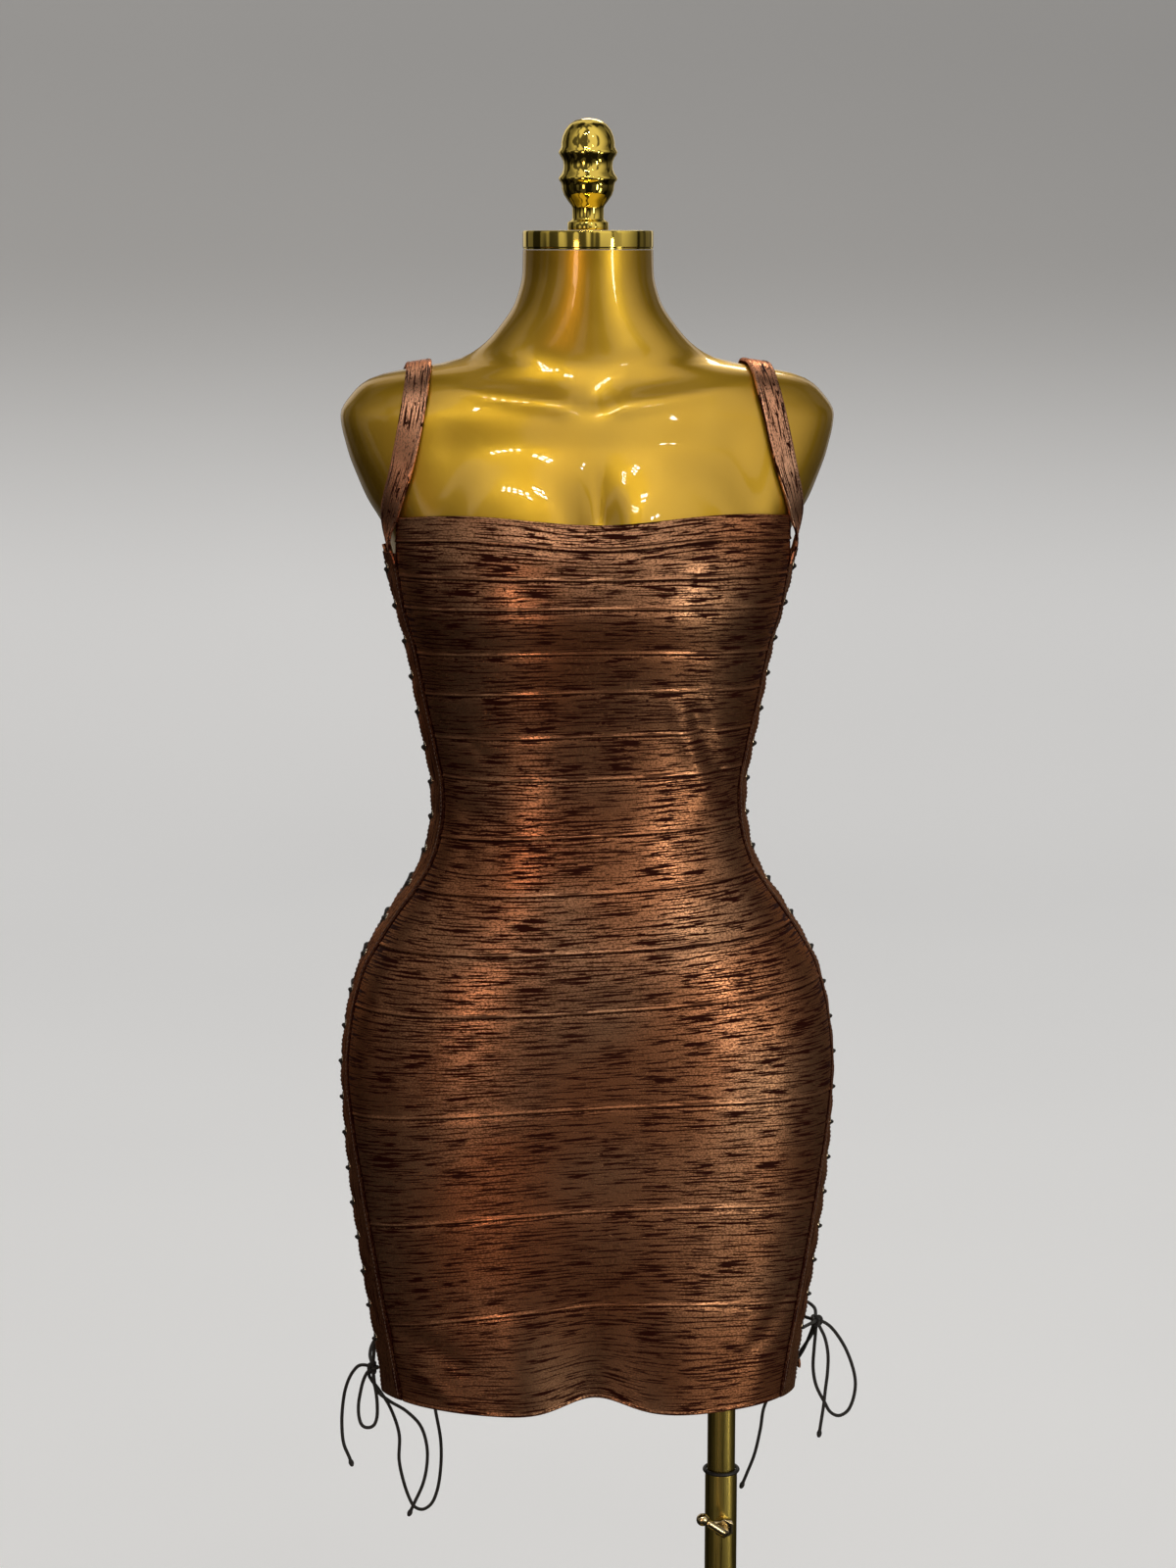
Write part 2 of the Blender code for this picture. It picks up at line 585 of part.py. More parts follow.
def hem_height(side):
    return SEAMS[-1].height + SEAMS[-1].tilt * side


def placket_skins(side, height, y):
    """The outer and the inner point of a placket at a height and a depth."""
    point = side_point(side, y, height)
    away = outward(point)
    far = EASE + FABRIC + PLACKET_PROUD
    return point + away * far, point + away * (far - PLACKET_THICK)


def eyelet_height(number):
    return EYELET_TOP + (EYELET_BOTTOM - EYELET_TOP) * number / (EYELETS - 1)


def eyelet_depth(height, front):
    seam, free = placket_span(height, front)
    return free - math.copysign(EYELET_INSET, free - seam)


def placket(side, front, finish):
    """A laced edge strip from the underarm to the hem, with a square hole in each stretch."""
    cuts = [PLACKET_TOP]
    cuts += [(eyelet_height(k) + eyelet_height(k + 1)) / 2.0 for k in range(EYELETS - 1)]
    cuts += [PLACKET_FOOT, hem_height(side)]
    bm = bmesh.new()

    def skin_pair(height, y):
        return [bm.verts.new(point) for point in placket_skins(side, height, y)]

    edges = []
    for height in cuts:
        seam, free = placket_span(height, front)
        edges.append([skin_pair(height, seam + math.copysign(SEAM_GAP / 2.0, free - seam)),
                      skin_pair(height, free)])
    for number, (top, low) in enumerate(zip(edges, edges[1:])):
        corners = [top[0], top[1], low[1], low[0]]
        if number < EYELETS:
            middle = eyelet_height(number)
            y = eyelet_depth(middle, front)
            half = math.copysign(EYELET_HALF, 1.0 if front else -1.0)
            hole = [skin_pair(middle + up * EYELET_HALF, y + along * half)
                    for along, up in ((-1, 1), (1, 1), (1, -1), (-1, -1))]
            for k in range(4):
                nxt = (k + 1) % 4
                bm.faces.new((corners[k][0], corners[nxt][0], hole[nxt][0], hole[k][0]))
                bm.faces.new((corners[nxt][1], corners[k][1], hole[k][1], hole[nxt][1]))
                bm.faces.new((hole[k][0], hole[nxt][0], hole[nxt][1], hole[k][1]))
        else:
            bm.faces.new([corner[0] for corner in corners])
            bm.faces.new([corner[1] for corner in corners[::-1]])
        for first, second in ((corners[1], corners[2]), (corners[3], corners[0])):
            bm.faces.new((first[0], first[1], second[1], second[0]))
    for first, second in (edges[0], edges[-1][::-1]):
        bm.faces.new((first[0], first[1], second[1], second[0]))
    place = ("front" if front else "back") + "_placket_" + ("left" if side < 0 else "right")
    return make_object(place, finish, bm, smooth_angle=50.0)


def lacing_strand(side, over, finish):
    """One strand of the criss-cross lacing.  It passes under a placket, up through its hole and
    back over it at every eyelet, and crosses the other strand in the middle of the gap."""
    mid_placket = EASE + FABRIC + PLACKET_PROUD - PLACKET_THICK / 2.0
    inside, outside = (LACE_FAR, LACE_NEAR) if over else (LACE_NEAR, LACE_FAR)
    cross = LACE_CROSS if over else -LACE_CROSS
    points = []
    front = over
    for number in range(EYELETS):
        height = eyelet_height(number)
        place = side_point(side, eyelet_depth(height, front), height)
        points.append(moved_out(place, mid_placket - inside))
        points.append(moved_out(place, mid_placket + outside))
        if number < EYELETS - 1:
            height = (height + eyelet_height(number + 1)) / 2.0
            middle = (placket_span(height, True)[1] + placket_span(height, False)[1]) / 2.0
            points.append(moved_out(side_point(side, middle, height), mid_placket + cross))
        front = not front
    points.append(knot_seat(LEFT_KNOT if side < 0 else RIGHT_KNOT, points[-1]))
    name = f"lacing_{'left' if side < 0 else 'right'}_{'over' if over else 'under'}"
    return cord_tube(name, finish, points)


def on_form(reach, turn):
    """Where a line from the strap's axis at a reach and a turn leaves the form."""
    direction = Vector((0.0, -math.cos(turn), math.sin(turn)))
    start = Vector((reach, STRAP_AXIS_DEPTH, STRAP_AXIS_HEIGHT))
    low, high = 0.0, 0.20
    for _ in range(40):
        middle = (low + high) / 2.0
        if level(*(start + direction * middle)) < 0.0:
            low = middle
        else:
            high = middle
    return start + direction * low


def strap(side, finish):
    """A strap from the front placket over the shoulder to the back placket."""
    middle = [on_form(row.reach, math.radians(row.turn)) for row in STRAP_ROWS]
    ends = []
    for front in (True, False):
        seam, free = placket_span(PLACKET_TOP, front)
        inner_edge = seam + math.copysign(STRAP_INSET, free - seam)
        outer_edge = seam + math.copysign(STRAP_INSET + STRAP_WIDTH, free - seam)
        ends.append([side_point(1.0, y, PLACKET_TOP + 2.0 * GAP) for y in (inner_edge, outer_edge)])
    first = (ends[0][0] + ends[0][1]) / 2.0
    last = (ends[1][0] + ends[1][1]) / 2.0
    path = [first] + middle + [last]
    outer, inner = [], []
    for k, point in enumerate(path):
        if k == 0:
            edges = ends[0]
        elif k == len(path) - 1:
            edges = ends[1]
        else:
            along = (path[k + 1] - path[k - 1]).normalized()
            across = along.cross(outward(point)).normalized() * (STRAP_WIDTH / 2.0)
            if across.x > 0.0:
                across = -across
            edges = [point + across, point - across]
        aways = [outward(p) for p in edges]
        near = STRAP_EASE
        outer.append([p + a * (near + STRAP_THICK) for p, a in zip(edges, aways)])
        inner.append([p + a * near for p, a in zip(edges, aways)])
    if side < 0:
        outer, inner = (
            [[Vector((-p.x, p.y, p.z)) for p in ring] for ring in grid] for grid in (outer, inner)
        )
    return wall(f"strap_{'left' if side < 0 else 'right'}", finish, outer, inner)


# ---------------------------------------------------------------- the form and the stand


def form_heights():
    """Ring heights of the dress form, close together at the waist and where the shoulders turn."""
    heights = [FORM_BOTTOM, FORM_BOTTOM + FORM_EDGE]
    for limit, step in FORM_RING_STEPS:
        while heights[-1] < limit:
            heights.append(heights[-1] + step)
    rows = [row.height for row in SECTIONS if row.height > heights[-1] + FORM_RING_CLEAR]
    start, end = SHOULDER_TURN
    for low, high in zip(rows, rows[1:]):
        heights += [low, (low + high) / 2.0] if start < high < end else [low]
    return heights + [FORM_TOP]


def form_hollow(x, y, z):
    """Where the form lies back from the cloth that spans it, in front."""
    if y >= 0.0:
        return 0.0
    lift = (z - BUST_VALLEY_HEIGHT) / BUST_VALLEY_REACH
    bust = BUST_VALLEY_DEPTH * math.exp(-((x / BUST_VALLEY_WIDTH) ** 2) - lift * lift)
    return bust + FORM_THIGH_SHARE * thigh_valley(x, y, z)


def form_ring(height):
    """The form's points at a height: across the front, the right side, the back, the left side."""
    rows = section(round(height, 6))
    front_edge = min(rows.front_edge, FORM_FRONT_SHARE * rows.front)
    back_edge = min(BACK_EDGE, FORM_BACK_SHARE * rows.back)
    covered = 1.0 - smooth_step(*FORM_COVER, height)
    front, back, right, left = [], [], [], []
    for k in range(FORM_COLUMNS + 1):
        share = 2.0 * k / FORM_COLUMNS - 1.0
        point = outline_point(share * edge_angle(height, front_edge, True), height)
        front.append(point + Vector((0.0, form_hollow(*point), 0.0)))
        point = outline_point(math.pi + share * edge_angle(height, back_edge, False), height)
        back.append(point - Vector((0.0, FORM_THIGH_SHARE * thigh_valley(*point), 0.0)))
    for share in FORM_SIDE_SHARES:
        y = -front_edge + share * (front_edge + back_edge)
        right.append(moved_out(side_point(1.0, y, height), -LACING_RELIEF * covered))
        left.append(moved_out(side_point(-1.0, y, height), -LACING_RELIEF * covered))
    ring = front + right + back + left[::-1]
    return [moved_out(point, -FORM_UNDER * covered) for point in ring]


def dress_form(finish):
    """The smooth limbless form, with a blind socket for the pole under its left thigh."""
    bm = bmesh.new()
    rings = []
    for height in form_heights():
        tuck = FORM_EDGE_TUCK if height == FORM_BOTTOM else 1.0
        ring = [Vector((p.x * tuck, p.y * tuck, height)) for p in form_ring(height)]
        rings.append([bm.verts.new(point) for point in ring])
    bm.faces.new(rings[0][::-1])
    bm.faces.new(rings[-1])
    for low, high in zip(rings, rings[1:]):
        for k in range(len(low)):
            nxt = (k + 1) % len(low)
            bm.faces.new((low[k], low[nxt], high[nxt], high[k]))
    form = make_object("dress_form", finish, bm)
    radius = INNER_TUBE_RADIUS + SOCKET_CLEAR
    profile = ((radius, -CUTTER_OVERRUN), (radius, SOCKET_DEPTH))
    cutter = turned("socket_cutter", finish, profile, TUBE_SIDES, (POLE_X, 0.0, FORM_BOTTOM))
    cutter.hide_render = True
    cutter.display_type = "WIRE"
    cut = form.modifiers.new("pole_socket", "BOOLEAN")
    cut.operation = "DIFFERENCE"
    cut.object = cutter
    return form


def neck_cap(finish):
    profile = ((NECK_CAP_RADIUS, 0.0), (NECK_CAP_RADIUS, NECK_CAP_THICK - TUBE_EDGE),
               (NECK_CAP_RADIUS - TUBE_EDGE, NECK_CAP_THICK))
    return turned("neck_cap", finish, profile, 32, (0.0, 0.0, FORM_TOP + GAP))


def finial(finish):
    base = FORM_TOP + GAP + NECK_CAP_THICK + GAP
    return turned("finial", finish, FINIAL_PROFILE, 18, (0.0, 0.0, base))


def pole(tube_finish, rubber_finish):
    """The inner tube, the rubber ring on top of the outer tube, and the outer tube."""
    top = FORM_BOTTOM + SOCKET_DEPTH - GAP
    edge = TUBE_EDGE
    radius = INNER_TUBE_RADIUS
    profile = ((radius - edge, INNER_TUBE_BOTTOM), (radius, INNER_TUBE_BOTTOM + edge),
               (radius, top - edge), (radius - edge, top))
    turned("inner_tube", tube_finish, profile, TUBE_SIDES, (POLE_X, 0.0, 0.0))
    foot = BASE_THICK + GAP
    profile = ((OUTER_TUBE_RADIUS, foot), (OUTER_TUBE_RADIUS, OUTER_TUBE_TOP),
               (OUTER_TUBE_BORE, OUTER_TUBE_TOP), (OUTER_TUBE_BORE, foot))
    turned("outer_tube", tube_finish, profile, TUBE_SIDES, (POLE_X, 0.0, 0.0), bore=OUTER_TUBE_BORE)
    middle = OUTER_TUBE_BORE + RING_THICK + RING_CLEAR
    profile = []
    for k in range(6):
        turn = 2.0 * math.pi * k / 6.0
        profile.append((middle + RING_THICK * math.cos(turn), RING_THICK * math.sin(turn)))
    height = OUTER_TUBE_TOP + GAP + RING_THICK
    turned("rubber_ring", rubber_finish, profile, TUBE_SIDES, (POLE_X, 0.0, height), bore=middle)


def clamp_nut(finish):
    """The hexagonal boss on the front of the outer tube that the clamp screw runs in."""
    bm = bmesh.new()
    start = -OUTER_TUBE_RADIUS - GAP
    loops = []
    for radius in (CLAMP_ACROSS_FLATS / math.sqrt(3.0), SCREW_RADIUS + SCREW_GAP):
        for depth in (start, start - CLAMP_LENGTH):
            ring = []
            for k in range(6):
                turn = math.radians(60.0 * k + 30.0)
                x, z = radius * math.cos(turn), radius * math.sin(turn)
                ring.append(bm.verts.new((POLE_X + x, depth, CLAMP_HEIGHT + z)))
            loops.append(ring)
    order = (loops[0], loops[1], loops[3], loops[2])
    for low, high in zip(order, order[1:] + order[:1]):
        for k in range(6):
            nxt = (k + 1) % 6
            bm.faces.new((low[k], low[nxt], high[nxt], high[k]))
    return make_object("clamp_nut", finish, bm)


def clamp_handle(finish):
    """The clamp screw, bent into a short rod with a ball end, its axis through the nut."""
    start = OUTER_TUBE_RADIUS + GAP
    bend = HANDLE_BEND
    way = Vector((math.cos(HANDLE_LEAN), 0.0, math.sin(HANDLE_LEAN)))
    centre = Vector((POLE_X, 0.0, CLAMP_HEIGHT))
    corner = centre + Vector((0.0, -SCREW_REACH, 0.0))
    points = [centre + Vector((0.0, -start, 0.0)), centre + Vector((0.0, -SCREW_REACH + bend, 0.0))]
    for k in range(1, 5):
        turn = math.radians(90.0) * k / 4.0
        points.append(corner + Vector((0.0, bend, 0.0)) * (1.0 - math.sin(turn))
                      + way * bend * (1.0 - math.cos(turn)))
    points.append(corner + way * (HANDLE_LENGTH - BALL_RADIUS))
    radii = [SCREW_RADIUS] * len(points)
    ball = corner + way * HANDLE_LENGTH
    for k in range(6):
        turn = math.radians(BALL_START + BALL_TURN * k)
        points.append(ball - way * BALL_RADIUS * math.cos(turn))
        radii.append(BALL_RADIUS * math.sin(turn))
    return cord_tube("clamp_handle", finish, points, radii)


def base(finish):
    """The round floor plate, centred under the form, and the collar that holds the pole."""
    profile = ((BASE_RADIUS, 0.0), (BASE_RADIUS, BASE_THICK - BASE_EDGE),
               (BASE_RADIUS - BASE_EDGE, BASE_THICK))
    turned("base_plate", finish, profile, 44, (0.0, 0.0, 0.0))
    inside = OUTER_TUBE_RADIUS + 2.0 * GAP
    profile = ((SOCKET_RADIUS, 0.0), (SOCKET_RADIUS - SOCKET_TAPER, SOCKET_HEIGHT),
               (inside, SOCKET_HEIGHT), (inside, 0.0))
    turned("base_socket", finish, profile, TUBE_SIDES, (POLE_X, 0.0, BASE_THICK + GAP), bore=inside)


# ---------------------------------------------------------------- the bows


def knot(name, place, finish):
    """The tied heart of a bow, a small rounded lump."""
    bm = bmesh.new()
    bmesh.ops.create_icosphere(bm, subdivisions=2, radius=1.0)
    for vert in bm.verts:
        vert.co = Vector(place) + Vector([vert.co[k] * KNOT_SIZE[k] for k in range(3)])
    return make_object(name, finish, bm, smooth_angle=80.0)


def free_cord(name, route, finish):
    """A loop or a free end of a bow, a free end finished with its own small knot."""
    tied = LEFT_KNOT if "left" in name else RIGHT_KNOT
    route = [knot_seat(tied, route[0]), *route[1:]]
    if "_loop_" in name:
        route = [*route[:-1], knot_seat(tied, route[-1])]
    points = smooth_route(route, 3.0 * CORD)
    radii = [CORD / 2.0] * len(points)
    if "_end_" in name:
        radii[-2] = CORD_KNOB
    return cord_tube(name, finish, points, radii)


# ---------------------------------------------------------------- build


def build():
    for piece in list(bpy.data.objects):
        bpy.data.objects.remove(piece, do_unlink=True)
    finish = {name: make_finish(name) for name in FINISHES}
    for number in range(len(SEAMS) - 1):
        band(number, True, finish["foil_knit"])
    for number in range(len(SEAMS) - 2):
        band(number, False, finish["foil_knit"])
    for side in (-1, 1):
        placket(side, True, finish["foil_binding"])
        placket(side, False, finish["foil_binding"])
        strap(side, finish["foil_binding"])
        lacing_strand(side, True, finish["black_cord"])
        lacing_strand(side, False, finish["black_cord"])
    for name, route in FREE_CORDS.items():
        free_cord(name, route, finish["black_cord"])
    knot("bow_left_knot", LEFT_KNOT, finish["black_cord"])
    knot("bow_right_knot", RIGHT_KNOT, finish["black_cord"])
    dress_form(finish["gold_paint"])
    neck_cap(finish["gold_plate"])
    finial(finish["gold_plate"])
    pole(finish["satin_brass"], finish["black_rubber"])
    clamp_nut(finish["satin_brass"])
    clamp_handle(finish["satin_brass"])
    base(finish["satin_brass"])


build()
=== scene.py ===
import math

import bmesh
import bpy
import numpy as np
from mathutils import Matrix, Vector


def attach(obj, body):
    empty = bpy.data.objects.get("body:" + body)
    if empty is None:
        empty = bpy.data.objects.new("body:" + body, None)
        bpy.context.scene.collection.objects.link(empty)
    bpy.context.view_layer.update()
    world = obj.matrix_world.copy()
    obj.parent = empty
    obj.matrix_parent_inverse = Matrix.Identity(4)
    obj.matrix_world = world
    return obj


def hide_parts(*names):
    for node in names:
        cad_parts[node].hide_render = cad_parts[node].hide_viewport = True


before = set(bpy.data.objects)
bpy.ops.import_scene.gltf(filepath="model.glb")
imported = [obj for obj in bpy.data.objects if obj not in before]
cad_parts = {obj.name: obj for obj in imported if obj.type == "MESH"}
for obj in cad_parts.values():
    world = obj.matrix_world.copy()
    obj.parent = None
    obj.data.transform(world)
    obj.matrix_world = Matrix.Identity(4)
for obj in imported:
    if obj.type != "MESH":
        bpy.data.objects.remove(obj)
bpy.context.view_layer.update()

scene = bpy.context.scene
finishes = {}
print("frame loaded with", len(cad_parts), "nodes")


def runLengths(points):
    steps = np.linalg.norm(np.diff(points, axis=0), axis=1)
    return np.concatenate([[0.0], np.cumsum(steps)])


def unitRows(rows):
    return rows / np.linalg.norm(rows, axis=-1, keepdims=True)


def evenTurns(count):
    return 2.0 * math.pi * np.arange(count) / count


def bell(value, width):
    return np.exp(-((value / width) ** 2))


def smoothStep(low, high, value):
    share = np.clip((np.asarray(value, float) - low) / (high - low), 0.0, 1.0)
    return share * share * (3.0 - 2.0 * share)


def within(rise, fall, value):  # from 0 up to 1 over rise, and back to 0 over fall
    return smoothStep(*rise, value) * (1.0 - smoothStep(*fall, value))


def sideName(side):
    return "left" if side < 0 else "right"


def faceName(front):
    return "front" if front else "back"


# camera in front of the dress, a little to its left and above the bust
cameraSizes = {
    "lens": 74.14,
    "frameHeight": 36.0,
    "place": (-0.1907, -2.4225, 1.4900),
    "tilt": 80.4,
    "turn": -4.5,
}


def addCamera():
    data = bpy.data.cameras.new("dressCamera")
    data.sensor_fit = "VERTICAL"
    data.sensor_height = cameraSizes["frameHeight"]
    data.lens = cameraSizes["lens"]
    camera = bpy.data.objects.new("dressCamera", data)
    camera.location = cameraSizes["place"]
    camera.rotation_euler = (math.radians(cameraSizes["tilt"]), 0.0, math.radians(cameraSizes["turn"]))
    scene.collection.objects.link(camera)
    scene.camera = camera


addCamera()
print("camera set")

# materials


def newFinish(name, color, roughness, metallic):
    finish = bpy.data.materials.new(name)
    finish.use_nodes = True
    tree = finish.node_tree
    shader = tree.nodes["Principled BSDF"]
    shader.inputs["Base Color"].default_value = (*color, 1.0)
    shader.inputs["Roughness"].default_value = roughness
    shader.inputs["Metallic"].default_value = metallic
    finish.diffuse_color = (*color, 1.0)
    finishes[name] = finish
    return tree, shader


def addNode(tree, kind, inputs, **settings):
    node = tree.nodes.new(kind)
    for key, value in settings.items():
        setattr(node, key, value)
    for socket, value in inputs.items():
        if isinstance(value, bpy.types.NodeSocket):
            tree.links.new(value, node.inputs[socket])
        else:
            node.inputs[socket].default_value = value
    return node


def feed(shader, socket, value):
    shader.id_data.links.new(value, shader.inputs[socket])


def objectPlace(tree):
    return addNode(tree, "ShaderNodeTexCoord", {}).outputs["Object"]


def clothPlace(tree):
    return addNode(tree, "ShaderNodeUVMap", {}, uv_map="clothMap").outputs["UV"]


def noise(tree, place, scale, detail=2.0, roughness=0.5, distortion=0.0):
    stretched = addNode(tree, "ShaderNodeMapping", {"Vector": place, "Scale": scale})
    return addNode(tree, "ShaderNodeTexNoise", {
        "Vector": stretched.outputs["Vector"], "Scale": 1.0, "Detail": detail,
        "Roughness": roughness, "Distortion": distortion,
    }).outputs["Fac"]


def ranged(tree, value, fromLow, fromHigh, toLow=0.0, toHigh=1.0, smooth=True):
    return addNode(tree, "ShaderNodeMapRange", {
        "Value": value, "From Min": fromLow, "From Max": fromHigh, "To Min": toLow, "To Max": toHigh,
    }, interpolation_type="SMOOTHSTEP" if smooth else "LINEAR").outputs["Result"]


def combined(tree, operation, first, second):
    node = addNode(tree, "ShaderNodeMath", {0: first, 1: second}, operation=operation)
    return node.outputs["Value"]


def mixedColor(tree, factor, first, second):
    node = addNode(tree, "ShaderNodeMix", {"Factor": factor}, data_type="RGBA")
    for socket, value in ((node.inputs[6], first), (node.inputs[7], second)):
        if isinstance(value, bpy.types.NodeSocket):
            tree.links.new(value, socket)
        else:
            socket.default_value = (*value, 1.0)
    return node.outputs[2]


def bumped(tree, shader, height, distance):
    bump = addNode(tree, "ShaderNodeBump", {"Height": height, "Distance": distance, "Strength": 1.0})
    feed(shader, "Normal", bump.outputs["Normal"])


# foil printed on burgundy knit; lengths are in metres along and across the ribs
foilSizes = {
    "foil": (0.540, 0.282, 0.155),
    "foilWarm": (0.570, 0.238, 0.112),
    "ground": (0.0190, 0.0018, 0.0008),
    "glossTint": (0.90, 0.52, 0.38),
    "streakLength": 0.030,
    "streakHeight": 0.0014,
    "fleckLength": 0.0080,
    "fleckHeight": 0.0021,
    "grainLength": 0.0020,
    "grainHeight": 0.0012,
    "roughness": 0.30,
    "unevenness": 0.035,     # how far the print's breaks come and go over the cloth
    "streakEdge": 0.050,     # softness of the breaks' edges
    "fleckEdge": 0.035,
    "bump": 0.00007,
    "skirt": (0.80, 1.06),   # the print has fewer breaks below these heights
    "skirtFlecks": 0.060,
    "skirtStreaks": 0.012,
    "skirtGrain": 0.036,
}


def makeFoil(name, streakLow, fleckLow, cover, bright):
    s = foilSizes
    tree, shader = newFinish(name, s["foil"], 0.4, 0.8)
    place = clothPlace(tree)
    streak = noise(tree, place, (1.0 / s["streakLength"], 1.0 / s["streakHeight"], 1.0), 2.5, 0.55, 0.15)
    fleck = noise(tree, place, (1.0 / s["fleckLength"], 1.0 / s["fleckHeight"], 1.0), 3.0, 0.6, 0.6)
    grain = noise(tree, place, (1.0 / s["grainLength"], 1.0 / s["grainHeight"], 1.0), 2.0, 0.7)
    density = noise(tree, place, (14.0, 30.0, 1.0), 2.0)
    shift = ranged(tree, density, 0.3, 0.7, -s["unevenness"], s["unevenness"], smooth=False)
    height = addNode(tree, "ShaderNodeSeparateXYZ", {0: objectPlace(tree)}).outputs["Z"]
    low = ranged(tree, height, *s["skirt"], 1.0, 0.0)

    def lowered(value, key):
        return combined(tree, "SUBTRACT", value, combined(tree, "MULTIPLY", low, s[key]))

    streak = lowered(combined(tree, "ADD", streak, shift), "skirtStreaks")
    fleck = lowered(combined(tree, "ADD", fleck, shift), "skirtFlecks")
    streakMask = ranged(tree, streak, streakLow, streakLow + s["streakEdge"])
    fleckMask = ranged(tree, fleck, fleckLow, fleckLow + s["fleckEdge"])
    whole = combined(tree, "SUBTRACT", 1.0, combined(tree, "MAXIMUM", streakMask, fleckMask))
    grit = ranged(tree, lowered(grain, "skirtGrain"), cover - 0.10, cover + 0.08, 0.30, 1.0, smooth=False)
    # seamPaintedLight adds foil on the seams' ridges as painted highlight, and takes it away as painted shade
    # in their grooves, at the bands' sides, along the hem and on the plackets
    seam = addNode(tree, "ShaderNodeAttribute", {}, attribute_name="seamPaintedLight").outputs["Fac"]
    printed = combined(tree, "MULTIPLY", whole, grit)
    clamped = addNode(tree, "ShaderNodeMath", {0: printed, 1: seam}, operation="ADD", use_clamp=True)
    amount = clamped.outputs["Value"]
    tint = noise(tree, place, (7.0, 9.0, 1.0), 1.0)
    # bright scales the foil's colour, for lit and shaded copies of it: painted highlight on the straps,
    # painted shade on the plackets
    cool, warm = (tuple(b * c for b, c in zip(bright, s[key])) for key in ("foil", "foilWarm"))
    foil = mixedColor(tree, ranged(tree, tint, 0.35, 0.65), cool, warm)
    feed(shader, "Base Color", mixedColor(tree, amount, s["ground"], foil))
    feed(shader, "Metallic", ranged(tree, amount, 0.0, 0.6, 0.05, 0.97))
    feed(shader, "Roughness", ranged(tree, amount, 0.0, 1.0, 0.72, s["roughness"]))
    shader.inputs["Anisotropic"].default_value = 0.60
    shader.inputs["Anisotropic Rotation"].default_value = 0.25
    shader.inputs["Specular IOR Level"].default_value = 0.20
    shader.inputs["Specular Tint"].default_value = (*s["glossTint"], 1.0)
    tangent = addNode(tree, "ShaderNodeTangent", {}, direction_type="UV_MAP", uv_map="clothMap")
    feed(shader, "Tangent", tangent.outputs["Tangent"])
    thick, rough = combined(tree, "MULTIPLY", amount, 0.6), combined(tree, "MULTIPLY", grain, 0.5)
    bumped(tree, shader, combined(tree, "ADD", thick, rough), s["bump"])


def makeGoldPaint():
    tree, shader = newFinish("goldPaint", (0.64, 0.425, 0.042), 0.40, 0.92)
    place = objectPlace(tree)
    cloud = noise(tree, place, (14.0, 14.0, 9.0), 2.0)
    color = mixedColor(tree, ranged(tree, cloud, 0.35, 0.65), (0.61, 0.400, 0.035), (0.67, 0.450, 0.050))
    feed(shader, "Base Color", color)
    flake = noise(tree, place, (2600.0, 2600.0, 2600.0), 1.0)
    feed(shader, "Roughness", ranged(tree, flake, 0.3, 0.7, 0.34, 0.44))
    shader.inputs["Coat Weight"].default_value = 0.8
    shader.inputs["Coat Roughness"].default_value = 0.025
    shader.inputs["Coat IOR"].default_value = 1.5
    shader.inputs["Coat Tint"].default_value = (1.0, 0.90, 0.62, 1.0)
    peel = noise(tree, place, (90.0, 90.0, 90.0), 2.0)
    bumped(tree, shader, peel, 0.00012)


def makeMetal(name, color, roughness, scale, spread, bump):
    tree, shader = newFinish(name, color, roughness, 1.0)
    place = objectPlace(tree)
    brush = noise(tree, place, scale, 3.0)
    low, high = roughness - spread, roughness + spread
    feed(shader, "Roughness", ranged(tree, brush, 0.3, 0.7, low, high))
    dull = tuple(0.86 * c for c in color)
    smudge = noise(tree, place, (38.0, 38.0, 26.0), 3.0)
    feed(shader, "Base Color", mixedColor(tree, ranged(tree, smudge, 0.45, 0.75), color, dull))
    bumped(tree, shader, brush, bump)


def makeCord():
    tree, shader = newFinish("blackCord", (0.010, 0.009, 0.009), 0.62, 0.0)
    place = clothPlace(tree)
    pitch = 0.314 / 0.0011  # a strand every 1.1 mm
    waves = []
    for slope in (1.0, -1.0):
        turned = addNode(tree, "ShaderNodeMapping", {
            "Vector": place, "Rotation": (0.0, 0.0, slope * math.radians(32.0)),
        }).outputs["Vector"]
        wave = addNode(tree, "ShaderNodeTexWave", {"Vector": turned, "Scale": pitch}, bands_direction="X")
        waves.append(wave.outputs["Fac"])
    braid = combined(tree, "MAXIMUM", waves[0], waves[1])
    feed(shader, "Base Color", mixedColor(tree, braid, (0.004, 0.004, 0.004), (0.020, 0.018, 0.018)))
    shader.inputs["Sheen Weight"].default_value = 0.12
    shader.inputs["Sheen Roughness"].default_value = 0.5
    bumped(tree, shader, braid, 0.00030)


def makeRubber():
    tree, shader = newFinish("blackRubber", (0.014, 0.014, 0.014), 0.5, 0.0)
    place = objectPlace(tree)
    dust = noise(tree, place, (900.0, 900.0, 900.0), 3.0)
    color = mixedColor(tree, ranged(tree, dust, 0.5, 0.8), (0.012, 0.012, 0.012), (0.030, 0.028, 0.026))
    feed(shader, "Base Color", color)
    bumped(tree, shader, dust, 0.00010)


def makeThread():
    tree, shader = newFinish("brownThread", (0.085, 0.040, 0.028), 0.55, 0.0)
    place = objectPlace(tree)
    twist = noise(tree, place, (1500.0, 1500.0, 3500.0), 2.0)
    feed(shader, "Base Color", mixedColor(tree, twist, (0.055, 0.024, 0.018), (0.180, 0.095, 0.060)))
    shader.inputs["Sheen Weight"].default_value = 0.3
    bumped(tree, shader, twist, 0.00015)


